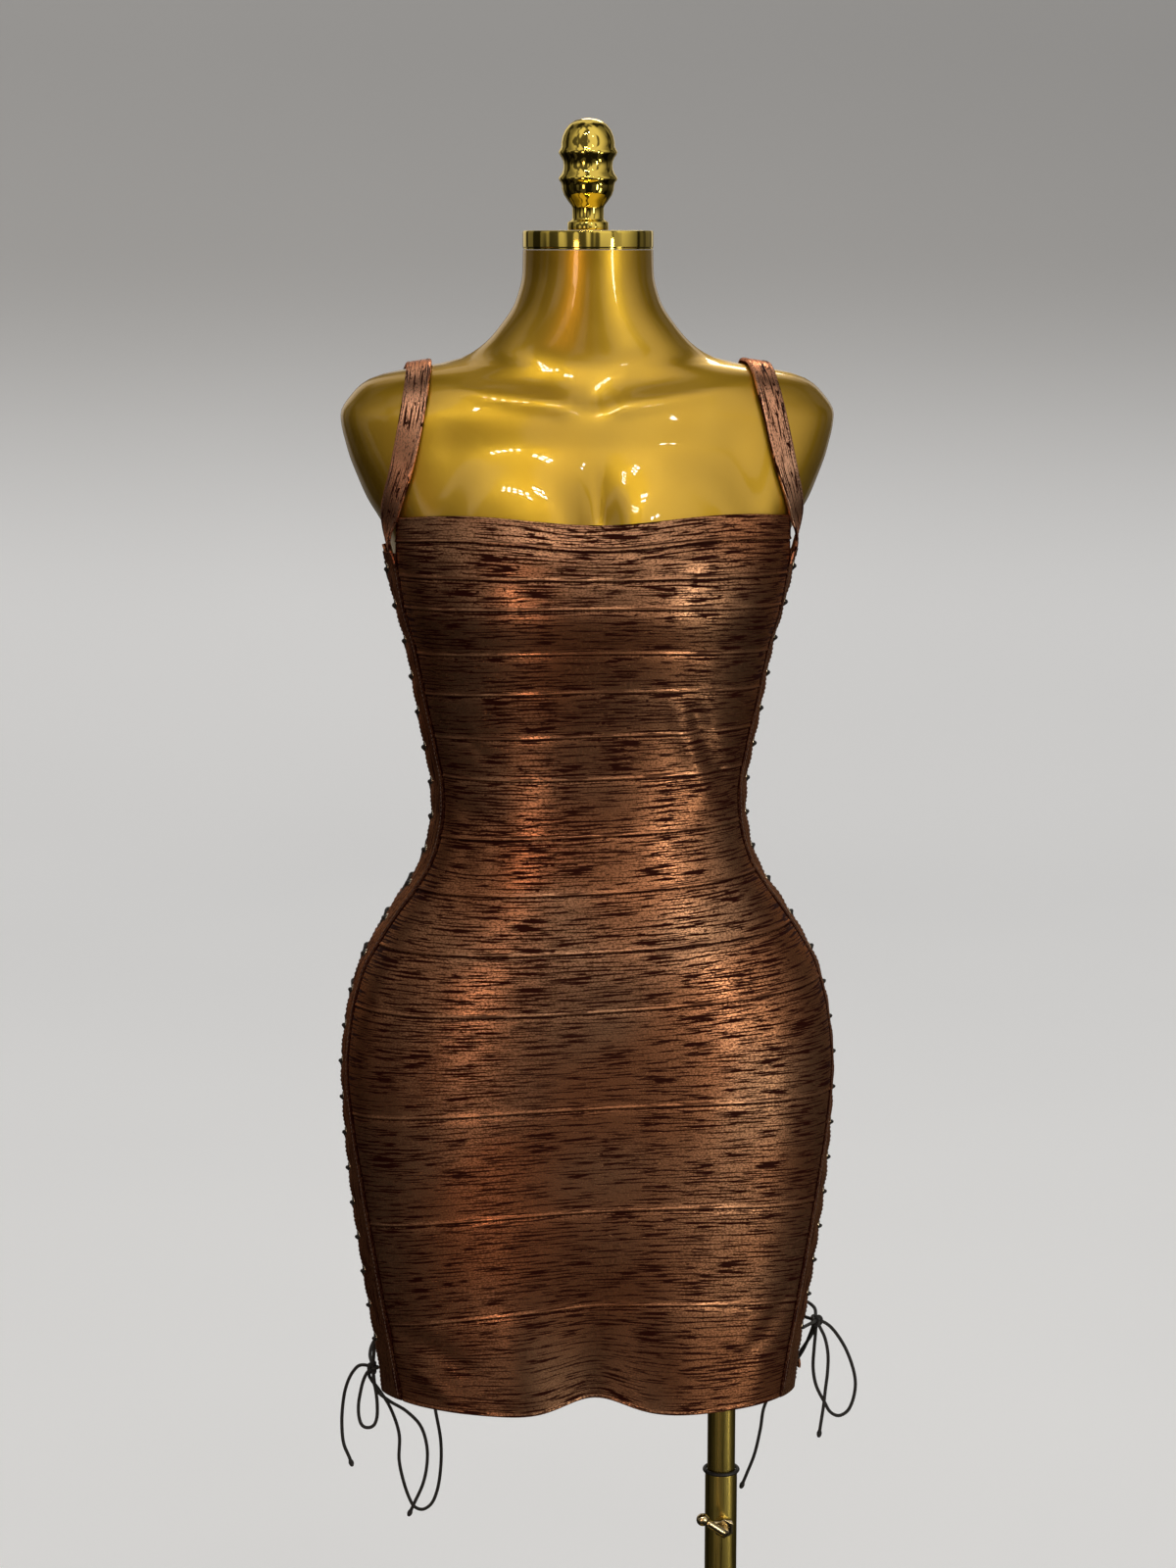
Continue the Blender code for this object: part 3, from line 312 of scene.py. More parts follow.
makeFoil("foilKnit", 0.492, 0.620, 0.48, (1.0, 1.0, 1.0))
# foilBinding, for the plackets, is a darker copy of the knit's foil: painted shade
makeFoil("foilBinding", 0.520, 0.620, 0.47, (0.80, 0.80, 0.80))
# foilStrap is a lighter, paler copy of the foil for the straps, which face the light from above: painted
# highlight
makeFoil("foilStrap", 0.535, 0.590, 0.43, (1.55, 1.72, 2.05))
makeGoldPaint()
makeMetal("goldPlate", (0.900, 0.680, 0.130), 0.055, (60.0, 60.0, 60.0), 0.035, 0.00002)
makeMetal("satinBrass", (0.490, 0.375, 0.090), 0.30, (1400.0, 1400.0, 16.0), 0.06, 0.00003)
makeMetal("brightBrass", (0.700, 0.560, 0.310), 0.14, (300.0, 300.0, 300.0), 0.04, 0.00003)
makeMetal("eyeletMetal", (0.620, 0.520, 0.380), 0.20, (700.0, 700.0, 700.0), 0.06, 0.00003)
makeCord()
makeRubber()
makeThread()
print("materials made:", len(finishes))

# the figure's outline at each height, in metres:
# height, half width, front, back, how square the front and the back are, placket seam
formRows = np.array((
    (0.5900, 0.1580, 0.0830, 0.0870, 2.20, 2.20, 0.0400),
    (0.6200, 0.1615, 0.0850, 0.0890, 2.20, 2.20, 0.0400),
    (0.6500, 0.1660, 0.0870, 0.0930, 2.20, 2.20, 0.0400),
    (0.7000, 0.1735, 0.0900, 0.1020, 2.20, 2.20, 0.0395),
    (0.7700, 0.1820, 0.0940, 0.1160, 2.25, 2.20, 0.0375),
    (0.8200, 0.1855, 0.0960, 0.1240, 2.35, 2.25, 0.0335),
    (0.8600, 0.1868, 0.0980, 0.1270, 2.40, 2.25, 0.0290),
    (0.9000, 0.1830, 0.0990, 0.1240, 2.40, 2.25, 0.0270),
    (0.9400, 0.1730, 0.0980, 0.1140, 2.40, 2.25, 0.0265),
    (0.9650, 0.1597, 0.0950, 0.1050, 2.35, 2.20, 0.0265),
    (0.9850, 0.1475, 0.0910, 0.0970, 2.30, 2.20, 0.0275),
    (1.0050, 0.1340, 0.0880, 0.0890, 2.25, 2.20, 0.0290),
    (1.0250, 0.1240, 0.0850, 0.0820, 2.20, 2.20, 0.0310),
    (1.0450, 0.1190, 0.0830, 0.0770, 2.20, 2.20, 0.0330),
    (1.0650, 0.1168, 0.0820, 0.0740, 2.20, 2.20, 0.0345),
    (1.0850, 0.1175, 0.0830, 0.0730, 2.20, 2.20, 0.0355),
    (1.1150, 0.1230, 0.0870, 0.0760, 2.20, 2.20, 0.0375),
    (1.1500, 0.1290, 0.0960, 0.0830, 2.30, 2.20, 0.0405),
    (1.1900, 0.1360, 0.1100, 0.0910, 2.35, 2.20, 0.0450),
    (1.2250, 0.1450, 0.1220, 0.0970, 2.40, 2.20, 0.0495),
    (1.2550, 0.1520, 0.1200, 0.1010, 2.40, 2.20, 0.0535),
    (1.2850, 0.1600, 0.1070, 0.1040, 2.40, 2.20, 0.0600),
    (1.3100, 0.1708, 0.0950, 0.1040, 2.40, 2.20, 0.0640),
    (1.3350, 0.1800, 0.0830, 0.1010, 2.40, 2.25, 0.0640),
    (1.3600, 0.1848, 0.0710, 0.0940, 2.35, 2.30, 0.0640),
    (1.3770, 0.1750, 0.0600, 0.0840, 2.30, 2.30, 0.0500),
    (1.3880, 0.1600, 0.0520, 0.0750, 2.25, 2.30, 0.0400),
    (1.3940, 0.1350, 0.0490, 0.0690, 2.20, 2.20, 0.0400),
    (1.4000, 0.1000, 0.0470, 0.0630, 2.10, 2.10, 0.0400),
    (1.4100, 0.0805, 0.0460, 0.0580, 2.00, 2.00, 0.0400),
    (1.4250, 0.0660, 0.0460, 0.0540, 2.00, 2.00, 0.0400),
    (1.4450, 0.0535, 0.0465, 0.0500, 2.00, 2.00, 0.0400),
    (1.4650, 0.0488, 0.0470, 0.0485, 2.00, 2.00, 0.0400),
    (1.4812, 0.0484, 0.0484, 0.0484, 2.00, 2.00, 0.0400),
))
thighSizes = {"top": 0.760, "low": 0.600, "front": 0.020, "back": 0.012, "width": 0.036}


def rowSlopes():  # slopes that never swing past the rows
    steps = np.diff(formRows[:, 0])[:, None]
    rates = np.diff(formRows[:, 1:], axis=0) / steps
    before, after, h0, h1 = rates[:-1], rates[1:], steps[:-1], steps[1:]
    w0, w1 = 2.0 * h1 + h0, h1 + 2.0 * h0
    same = before * after > 0.0
    safeBefore, safeAfter = np.where(same, before, 1.0), np.where(same, after, 1.0)
    inner = np.where(same, (w0 + w1) / (w0 / safeBefore + w1 / safeAfter), 0.0)
    return np.vstack([rates[:1], inner, rates[-1:]])


slopeRows = rowSlopes()


def sectionAt(z):
    z = np.clip(np.asarray(z, float), formRows[0, 0], formRows[-1, 0])
    row = np.clip(np.searchsorted(formRows[:, 0], z, side="right") - 1, 0, len(formRows) - 2)
    step = formRows[row + 1, 0] - formRows[row, 0]
    t = (z - formRows[row, 0]) / step
    start, end = (1.0 + 2.0 * t) * (1.0 - t) ** 2, t * t * (3.0 - 2.0 * t)
    leave, arrive = t * (1.0 - t) ** 2 * step, t * t * (t - 1.0) * step
    values = (start[..., None] * formRows[row, 1:] + end[..., None] * formRows[row + 1, 1:]
              + leave[..., None] * slopeRows[row] + arrive[..., None] * slopeRows[row + 1])
    return [values[..., k] for k in range(6)]


def thighValley(x, y, z):
    depth = np.where(y < 0.0, thighSizes["front"], thighSizes["back"])
    share = 1.0 - smoothStep(thighSizes["low"], thighSizes["top"], z)
    return depth * share * bell(x, thighSizes["width"])


def level(points):
    x, y, z = points[..., 0], points[..., 1], points[..., 2]
    half, front, back, frontPower, backPower, _ = sectionAt(z)
    depth, power = np.where(y < 0.0, front, back), np.where(y < 0.0, frontPower, backPower)
    return (np.abs(x) / half) ** power + ((np.abs(y) + thighValley(x, y, z)) / depth) ** power - 1.0


def outward(points, step=0.0004):
    points = np.asarray(points, float)
    moves = step * np.eye(3)
    return unitRows(np.stack([level(points + move) - level(points - move) for move in moves], axis=-1))


def outlinePoint(angle, z):
    half, front, back, frontPower, backPower, _ = sectionAt(z)
    s, c = np.sin(angle), np.cos(angle)
    depth, power = np.where(c > 0.0, front, back), np.where(c > 0.0, frontPower, backPower)
    size = (np.abs(s) ** power + np.abs(c) ** power) ** (1.0 / power)
    x, y = half * s / size, -depth * c / size
    shift = thighValley(x, y, z)
    return np.stack([x, np.where(c > 0.0, y + shift, y - shift), z + 0.0 * x], axis=-1)


def sidePoint(side, y, z):
    y = np.asarray(y, float)
    half, front, back, frontPower, backPower, _ = sectionAt(z)
    depth, power = np.where(y < 0.0, front, back), np.where(y < 0.0, frontPower, backPower)
    x = half * (1.0 - (np.abs(y) / depth) ** power) ** (1.0 / power)
    return np.stack([side * x, y + 0.0 * x, z + 0.0 * x], axis=-1)


def edgeAngle(z, edge, front):
    _, frontDepth, backDepth, frontPower, backPower, _ = sectionAt(z)
    depth, power = (frontDepth, frontPower) if front else (backDepth, backPower)
    share = edge / depth
    return np.arctan2((1.0 - share ** power) ** (1.0 / power), share)


def movedOut(points, distance):
    return points + outward(points) * np.asarray(distance, float)[..., None]


# the seams between the knitted bands, top edge to hem:
# height, climb over the bust, tilt to the right, fall to both sides
seamRows = (
    (1.2848, 0.0070, 0.0000, 0.0020),
    (1.2665, 0.0060, 0.0000, 0.0000),
    (1.2465, 0.0010, 0.0000, 0.0020),
    (1.2262, 0.0000, 0.0000, 0.0050),
    (1.1940, 0.0000, 0.0000, 0.0080),
    (1.1640, 0.0000, 0.0015, 0.0075),
    (1.1297, 0.0000, 0.0030, 0.0045),
    (1.0965, 0.0000, 0.0030, 0.0010),
    (1.0530, 0.0000, 0.0050, 0.0030),
    (1.0105, 0.0000, 0.0055, 0.0010),
    (0.9675, 0.0000, 0.0065, 0.0000),
    (0.9235, 0.0000, 0.0080, 0.0005),
    (0.8500, 0.0000, 0.0060, 0.0130),
    (0.7695, 0.0000, 0.0060, 0.0200),
    (0.6925, 0.0000, 0.0065, 0.0240),
    (0.6030, 0.0000, -0.0030, 0.0000),
)
dressSizes = {
    "ease": 0.0014,          # cloth to figure
    "fabric": 0.0016,
    "placketProud": 0.0008,
    "placketWidth": 0.026,
    "placketTop": 1.2620,
    "placketFoot": 0.6270,
    "backEdge": 0.0480,
    "seamGap": 0.0008,
    "bustSpan": 1.3,
    "hemLift": 0.011,
    "hemLiftWidth": 0.21,
    "hemHeight": 0.6030,
    "hemTilt": -0.0030,
    "eyelets": 23,
    "eyeletTop": 1.2500,
    "eyeletBottom": 0.6500,
    "eyeletInset": 0.0050,
}


def seamHeight(number, share, front):
    height, rise, tilt, fall = seamRows[number]
    span = math.pi / dressSizes["bustSpan"]
    if not front:
        return height + rise * math.sin(span) ** 2 + tilt * share - fall
    hem = 0.0
    if number == len(seamRows) - 1:
        hem = dressSizes["hemLift"] * bell(share, dressSizes["hemLiftWidth"])
    return height + rise * np.sin(span * share) ** 2 + tilt * share - fall * share ** 2 + hem


def placketSpan(z, front):
    if front:
        seam = -sectionAt(z)[5]
        return seam, seam + dressSizes["placketWidth"]
    edge = dressSizes["backEdge"] + 0.0 * np.asarray(z, float)
    return edge, edge - dressSizes["placketWidth"]


def eyeletPitch():
    return (dressSizes["eyeletTop"] - dressSizes["eyeletBottom"]) / (dressSizes["eyelets"] - 1)


def eyeletHeight(number):
    return dressSizes["eyeletTop"] - eyeletPitch() * number


def eyeletDepth(z, front):
    seam, free = placketSpan(z, front)
    return free - np.sign(free - seam) * dressSizes["eyeletInset"]


# mesh helpers


def addPiece(name, mesh, finish, body, nodes, sharp=50.0):
    mesh.materials.append(finishes[finish])
    mesh.shade_smooth()
    mesh.set_sharp_from_angle(angle=math.radians(sharp))
    piece = bpy.data.objects.new(name, mesh)
    scene.collection.objects.link(piece)
    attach(piece, body)
    if nodes:
        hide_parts(*nodes)
    return piece


def meshOf(name, points, faces, uv=None, mend=True):
    mesh = bpy.data.meshes.new(name)
    mesh.from_pydata(np.asarray(points, float).tolist(), [], faces)
    if mend:
        bm = bmesh.new()
        bm.from_mesh(mesh)
        bmesh.ops.recalc_face_normals(bm, faces=bm.faces)
        bm.to_mesh(mesh)
        bm.free()
    if uv is not None:
        layer = mesh.uv_layers.new(name="clothMap")
        corners = np.zeros(len(mesh.loops), np.int32)
        mesh.loops.foreach_get("vertex_index", corners)
        layer.data.foreach_set("uv", np.asarray(uv, np.float32)[corners].ravel())
    mesh.update()
    return mesh


def gridFaces(rows, columns, start=0, wrap=False):
    faces = []
    for r in range(rows - 1):
        for c in range(columns if wrap else columns - 1):
            d = (c + 1) % columns
            a = start + r * columns
            faces.append((a + c, a + columns + c, a + columns + d, a + d))
    return faces


def clothShell(name, outer, inner, faces, uv):
    # two skins joined round every open edge
    count = len(outer)
    used = {}
    for face in faces:
        for a, b in zip(face, face[1:] + face[:1]):
            key = (min(a, b), max(a, b))
            used[key] = None if key in used else (a, b)
    rims = [pair for pair in used.values() if pair]
    joined = list(faces) + [tuple(count + i for i in reversed(face)) for face in faces]
    joined += [(b, a, a + count, b + count) for a, b in rims]
    return meshOf(name, np.vstack([outer, inner]), joined, np.vstack([uv, uv]))


def paintLightAndShade(mesh, values):
    # painted light and shade, laid on both skins of a shell as foil added or taken away: painted highlight on
    # the ridge above a seam, painted shade in the groove under it, at the bands' sides, along the hem and on
    # the plackets
    layer = mesh.attributes.new("seamPaintedLight", "FLOAT", "POINT")
    layer.data.foreach_set("value", np.tile(values, 2).astype(np.float32))


def smoothRoute(route, step):
    # evenly spaced points on a curve through the route's own points
    points = np.asarray(route, float)
    points = np.vstack([2 * points[0] - points[1], points, 2 * points[-1] - points[-2]])
    fine = []
    for a, b, c, d in zip(points, points[1:], points[2:], points[3:]):
        k0, k1, k2 = (max(1e-9, float(np.linalg.norm(q - p))) ** 0.5 for p, q in ((a, b), (b, c), (c, d)))
        m1 = (c - b) + k1 * ((b - a) / k0 - (c - a) / (k0 + k1))
        m2 = (c - b) + k1 * ((d - c) / k2 - (d - b) / (k1 + k2))
        for t in np.arange(24) / 24.0:
            fine.append((2 * t ** 3 - 3 * t ** 2 + 1) * b + (t ** 3 - 2 * t ** 2 + t) * m1
                        + (3 * t ** 2 - 2 * t ** 3) * c + (t ** 3 - t ** 2) * m2)
    fine.append(points[-2])
    fine = np.array(fine)
    along = runLengths(fine)
    at = np.linspace(0.0, along[-1], max(4, round(along[-1] / step) + 1))
    return np.stack([np.interp(at, along, fine[:, k]) for k in range(3)], axis=1)


def tubeMesh(name, points, radii, sides):
    points = np.asarray(points, float)
    ways = unitRows(np.gradient(points, axis=0))
    side = np.cross(ways[0], (0.31, 0.52, 0.79))
    side /= np.linalg.norm(side)
    turns = evenTurns(sides)
    along = runLengths(points)
    rings, uv = [], []
    for k, (point, way) in enumerate(zip(points, ways)):
        side = side - way * side.dot(way)
        side /= np.linalg.norm(side)
        over = np.cross(way, side)
        rings.append(point + radii[k] * (np.cos(turns)[:, None] * side + np.sin(turns)[:, None] * over))
        uv.append(np.stack([along[k] + 0.0 * turns, turns * max(radii)], axis=1))
    verts = np.vstack(rings + [points[:1], points[-1:]])
    faces = gridFaces(len(points), sides, wrap=True)
    last = len(points) * sides
    for k in range(sides):
        nxt = (k + 1) % sides
        faces.append((k, nxt, last))
        faces.append((last - sides + nxt, last - sides + k, last + 1))
    return meshOf(name, verts, faces, np.vstack(uv + [[[0.0, 0.0]], [[along[-1], 0.0]]]))


# cords: the lacing down both sides and the bows that end it
cordSizes = {
    "thick": 0.0027,
    "over": 0.0048,       # figure to a strand that lies on a placket
    "under": -0.0002,     # and to one behind it
    "inHole": 0.0026,
    "atEdge": (0.0037, -0.0002),
    "cross": 0.0015,      # half the distance between two strands where they cross
    "turnWidth": 0.0016,  # how far beside its hole a strand starts to turn
    "leftKnot": (-0.1690, 0.0000, 0.6180),
    "rightKnot": (0.1820, 0.0080, 0.6440),
    "knotHalf": (0.0055, 0.0050, 0.0060),
    "intoKnot": 0.35,     # how near its middle a cord starts, as a share
    "knob": (0.00168, 0.00210, 0.002037, 0.001722, 0.00105),  # radii where a free end is tied off
    "lean": 0.11,         # how far a strand climbs across its hole, as a share of the pitch
    "step": 0.0012,
    "sides": 12,
}
bowRoutes = {
    "bow_left_end_side": (
        (-0.1746, 0.0002, 0.6200), (-0.1796, 0.0018, 0.6192), (-0.1856, 0.0050, 0.6116),
        (-0.1905, 0.0080, 0.5985), (-0.1930, 0.0100, 0.5830), (-0.1938, 0.0100, 0.5676),
        (-0.1925, 0.0100, 0.5521), (-0.1880, 0.0100, 0.5400), (-0.1860, 0.0100, 0.5333),
    ),
    "bow_left_loop_side": (
        (-0.1734, -0.0006, 0.6142), (-0.1765, -0.0010, 0.6080), (-0.1790, 0.0000, 0.5977),
        (-0.1806, 0.0020, 0.5863), (-0.1802, 0.0036, 0.5758), (-0.1782, 0.0045, 0.5694),
        (-0.1754, 0.0048, 0.5671), (-0.1714, 0.0046, 0.5671), (-0.1684, 0.0040, 0.5694),
        (-0.1663, 0.0028, 0.5758), (-0.1659, 0.0000, 0.5863), (-0.1666, -0.0030, 0.5972),
        (-0.1680, -0.0034, 0.6070), (-0.1685, -0.0028, 0.6122),
    ),
    "bow_left_loop_back": (
        (-0.1700, 0.0048, 0.6145), (-0.1718, 0.0110, 0.6085), (-0.1700, 0.0240, 0.5990),
        (-0.1640, 0.0400, 0.5850), (-0.1545, 0.0520, 0.5640), (-0.1480, 0.0570, 0.5406),
        (-0.1482, 0.0590, 0.5181), (-0.1452, 0.0600, 0.5010), (-0.1405, 0.0620, 0.4850),
        (-0.1362, 0.0630, 0.4765), (-0.1296, 0.0642, 0.4734), (-0.1228, 0.0654, 0.4770),
        (-0.1180, 0.0664, 0.4868), (-0.1146, 0.0680, 0.5056),
        (-0.1142, 0.0700, 0.5289), (-0.1179, 0.0730, 0.5522), (-0.1225, 0.0755, 0.5790),
        (-0.1290, 0.0750, 0.6030), (-0.1420, 0.0640, 0.6200), (-0.1560, 0.0480, 0.6290),
        (-0.1675, 0.0300, 0.6290), (-0.1710, 0.0150, 0.6235), (-0.1697, 0.0057, 0.6195),
    ),
    "bow_left_end_back": (
        (-0.1687, 0.0022, 0.6122), (-0.1685, 0.0045, 0.6050), (-0.1655, 0.0150, 0.5930),
        (-0.1560, 0.0300, 0.5790), (-0.1420, 0.0400, 0.5660), (-0.1310, 0.0440, 0.5520),
        (-0.1262, 0.0450, 0.5350), (-0.1262, 0.0450, 0.5190), (-0.1295, 0.0450, 0.5030),
        (-0.1370, 0.0450, 0.4860), (-0.1415, 0.0450, 0.4760),
    ),
    "bow_right_end_side": (
        (0.1846, 0.0050, 0.6395), (0.1880, 0.0010, 0.6320), (0.1900, -0.0030, 0.6200),
        (0.1895, -0.0050, 0.6056), (0.1880, -0.0050, 0.5915), (0.1867, -0.0050, 0.5780),
        (0.1845, -0.0050, 0.5620), (0.1831, -0.0050, 0.5520),
    ),
    "bow_right_loop_side": (
        (0.1874, 0.0096, 0.6425), (0.1945, 0.0110, 0.6370), (0.2072, 0.0130, 0.6172),
        (0.2150, 0.0140, 0.5904), (0.2126, 0.0150, 0.5722),
        (0.2082, 0.0150, 0.5646), (0.2017, 0.0150, 0.5618), (0.1954, 0.0150, 0.5650),
        (0.1905, 0.0150, 0.5735), (0.1835, 0.0140, 0.5880), (0.1806, 0.0120, 0.6034),
        (0.1808, 0.0095, 0.6204), (0.1815, 0.0088, 0.6310), (0.1818, 0.0084, 0.6375),
    ),
    "bow_right_loop_back": (
        (0.1829, 0.0128, 0.6410), (0.1840, 0.0190, 0.6360), (0.1815, 0.0320, 0.6230),
        (0.1740, 0.0450, 0.6040), (0.1640, 0.0540, 0.5830), (0.1530, 0.0590, 0.5671),
        (0.1422, 0.0630, 0.5613), (0.1304, 0.0690, 0.5600), (0.1215, 0.0745, 0.5710),
        (0.1195, 0.0790, 0.5900), (0.1235, 0.0795, 0.6110), (0.1330, 0.0740, 0.6290),
        (0.1470, 0.0630, 0.6420), (0.1625, 0.0470, 0.6510), (0.1760, 0.0310, 0.6530),
        (0.1825, 0.0210, 0.6500), (0.1824, 0.0137, 0.6462),
    ),
    "bow_right_end_back": (
        (0.1800, 0.0107, 0.6385), (0.1785, 0.0150, 0.6310), (0.1740, 0.0240, 0.6140),
        (0.1650, 0.0340, 0.5950), (0.1540, 0.0410, 0.5780), (0.1460, 0.0440, 0.5600),
        (0.1431, 0.0450, 0.5403), (0.1385, 0.0450, 0.5195), (0.1323, 0.0450, 0.5030),
        (0.1275, 0.0450, 0.4910),
    ),
}


def knotPlace(side):
    return np.array(cordSizes["leftKnot" if side < 0 else "rightKnot"])


def addCord(name, ending, points, radii=None):
    if radii is None:
        radii = np.full(len(points), cordSizes["thick"] / 2.0)
    mesh = tubeMesh(name, points, radii, cordSizes["sides"])
    return addPiece(name + ending, mesh, "blackCord", "figure", [name], sharp=80.0)


def makeBowCord(name, route):
    c, isLoop = cordSizes, "_loop_" in name
    tied = knotPlace(-1 if "left" in name else 1)
    start, stop = (tied + c["intoKnot"] * (np.array(p) - tied) for p in (route[0], route[-1]))
    points = smoothRoute([start] + list(route) + ([stop] if isLoop else []), c["step"])
    radii = np.full(len(points), c["thick"] / 2.0)
    if isLoop:
        radii[-1] *= 0.6
    else:
        radii[-5:] = c["knob"]
    piece = addCord(name, "_cord", points, radii)


def makeKnot(name, side, turn):
    # an overhand knot pulled tight
    t = 2.0 * math.pi * np.arange(97) / 96.0
    curve = np.stack([(2.0 + np.cos(3 * t)) * np.cos(2 * t) / 3.0,
                      (2.0 + np.cos(3 * t)) * np.sin(2 * t) / 3.0, 0.62 * np.sin(3 * t)], axis=1)
    c, s = math.cos(turn), math.sin(turn)
    curve = curve @ np.array(((1.0, 0.0, 0.0), (0.0, c, -s), (0.0, s, c)))
    reach = np.array(cordSizes["knotHalf"]) - cordSizes["thick"] / 2.0
    addCord(name, "_tied", knotPlace(side) + curve * reach)


def makeLacing(side, over):
    d, c = dressSizes, cordSizes
    cross = c["cross"] if over else -c["cross"]
    pitch = eyeletPitch()
    lean = c["lean"] * pitch
    route, front = [], over

    def add(y, z, height):
        route.append(movedOut(sidePoint(side, y, z), height))

    for number in range(d["eyelets"]):
        z = eyeletHeight(number)
        hole = float(eyeletDepth(z, front))
        free = float(placketSpan(z, front)[1])
        turn = hole + math.copysign(c["turnWidth"], free - hole)
        if number:
            add(free, z + lean, c["atEdge"][1])
        add(turn, z + 0.3 * lean, c["under"])
        add(hole, z, c["inHole"])
        add(turn, z - 0.3 * lean, c["over"])
        add(free, z - lean, c["atEdge"][0])
        if number < d["eyelets"] - 1:
            z -= pitch / 2.0
            add(float(placketSpan(z, True)[1] + placketSpan(z, False)[1]) / 2.0, z, cross)
        front = not front
    tied = knotPlace(side)
    route.append(tied + c["intoKnot"] * c["knotHalf"][2] * unitRows(route[-1] - tied))
    points = smoothRoute(np.array(route), c["step"])
    name = f"lacing_{sideName(side)}_{'over' if over else 'under'}"
    addCord(name, "_cord", points)
    print(f"{name} is {runLengths(points)[-1]:.3f} m long")


for cordName, cordRoute in bowRoutes.items():
    makeBowCord(cordName, cordRoute)
makeKnot("bow_left_knot", -1, 0.9)
makeKnot("bow_right_knot", 1, 2.1)
for cordSide in (-1, 1):
    for cordOver in (True, False):
        makeLacing(cordSide, cordOver)
print("cords made")

# soft creases in the cloth: face, start and end across and up, half width, depth, in metres
creases = (
    ("front", (0.067, 1.156), (0.104, 1.083), 0.0056, -0.0028),
    ("front", (0.052, 1.152), (0.086, 1.084), 0.0066, 0.0015),
    ("front", (-0.100, 1.128), (-0.070, 1.112), 0.0050, -0.0009),
    ("front", (-0.108, 1.072), (-0.066, 1.064), 0.0045, -0.0008),
    ("front", (0.108, 1.040), (0.060, 1.048), 0.0050, -0.0008),
    ("front", (-0.130, 0.990), (-0.080, 1.004), 0.0070, -0.0010),
    ("front", (0.140, 0.985), (0.090, 1.000), 0.0060, -0.0009),
    ("front", (-0.155, 0.665), (-0.095, 0.640), 0.0080, -0.0020),
    ("front", (-0.150, 0.640), (-0.105, 0.612), 0.0060, 0.0014),
    ("front", (0.150, 0.690), (0.110, 0.640), 0.0080, -0.0016),
    ("front", (0.128, 0.650), (0.118, 0.606), 0.0080, 0.0012),
    ("front", (-0.060, 0.680), (-0.050, 0.606), 0.0160, 0.0016),
    ("front", (0.040, 0.660), (0.062, 0.606), 0.0140, -0.0012),
    ("back", (-0.100, 1.080), (-0.050, 1.066), 0.0060, -0.0012),
    ("back", (0.104, 1.066), (0.042, 1.052), 0.0055, -0.0013),
    ("back", (-0.094, 1.048), (-0.020, 1.036), 0.0060, -0.0011),
    ("back", (0.090, 1.098), (0.030, 1.090), 0.0050, -0.0009),
    ("back", (-0.120, 0.770), (-0.040, 0.748), 0.0090, -0.0016),
    ("back", (0.125, 0.760), (0.050, 0.745), 0.0085, -0.0014),
    ("back", (-0.060, 0.690), (-0.052, 0.606), 0.0150, 0.0015),
    ("back", (0.070, 0.680), (0.060, 0.606), 0.0150, -0.0013),
)


def creaseRelief(points):
    relief = np.zeros(points.shape[:-1])
    x, y, z = points[..., 0], points[..., 1], points[..., 2]
    for face, start, end, width, depth in creases:
        run = np.array(end) - np.array(start)
        length = float(np.linalg.norm(run))
        run = run / length
        along = (x - start[0]) * run[0] + (z - start[1]) * run[1]
        across = (x - start[0]) * -run[1] + (z - start[1]) * run[0]
        bend = 0.0035 * np.sin(3.0 * along / length + 40.0 * start[0])  # none runs dead straight
        taper = within((-0.30, 0.35), (0.65, 1.30), along / length)
        facing = (y < 0.0) if face == "front" else (y >= 0.0)
        relief += facing * depth * taper * bell(across - bend, width)
    return relief


# the knitted bands of the front and the back
bandSizes = {
    "thick": 0.0012,
    "columns": 116,
    "crowding": 0.35,         # how far the columns crowd to the sides
    "rowStep": 0.0045,
    "face": 0.0031,           # figure to the cloth's face between two seams
    "swell": 0.00018,
    "least": 0.0013,
    "underPlacket": 0.0026,   # how far a band runs in under its placket
    "sideTuck": 0.0013,
    "tuckEdge": (0.0020, 0.0052),
    # painted shade at the bands' sides, where they tuck in under the plackets
    "shadeEdge": (0.0014, 0.0040),
    "sideShade": 0.8,
    "backPrint": 2.7,         # where the back's print starts
    "stretch": 1.10,          # worn size over cut size
    "allowance": 0.002,       # cloth taken up by the seams
    "leastCut": 0.0105,
    # distance below the upper seam, and height of the cloth's face over the figure
    "top": (
        (-0.0020, 0.0019), (-0.0010, 0.0019), (-0.0003, 0.0020),
        (0.0003, 0.0022), (0.0009, 0.0027), (0.0018, 0.0030),
    ),
    "neckTop": (
        (-0.0003, 0.0024), (-0.0001, 0.0030), (0.0003, 0.0033),
        (0.0011, 0.0034), (0.0022, 0.0032), (0.0034, 0.0031),
    ),
    # distance above the lower seam
    "bottom": (
        (0.0036, 0.0031), (0.0025, 0.0032), (0.0018, 0.0035), (0.0012, 0.00385),
        (0.0006, 0.0038), (0.0001, 0.0033), (-0.0003, 0.0027),
    ),
    # foil added on the ridge above a seam, partly print and partly painted highlight, and taken from the
    # groove under it as painted shade
    "ridgePaintedLight": (
        (-0.0003, -0.70), (0.0001, -0.50), (0.0006, 0.05), (0.0012, 0.28),
        (0.0018, 0.20), (0.0025, 0.05), (0.0036, 0.0),
    ),
    # painted shade along the hem's lower edge
    "hemShade": ((-0.0003, -0.30), (0.0036, 0.0)),
    "grooveShade": ((-0.0020, -0.80), (0.0003, -0.80), (0.0009, -0.45), (0.0018, 0.0)),
}


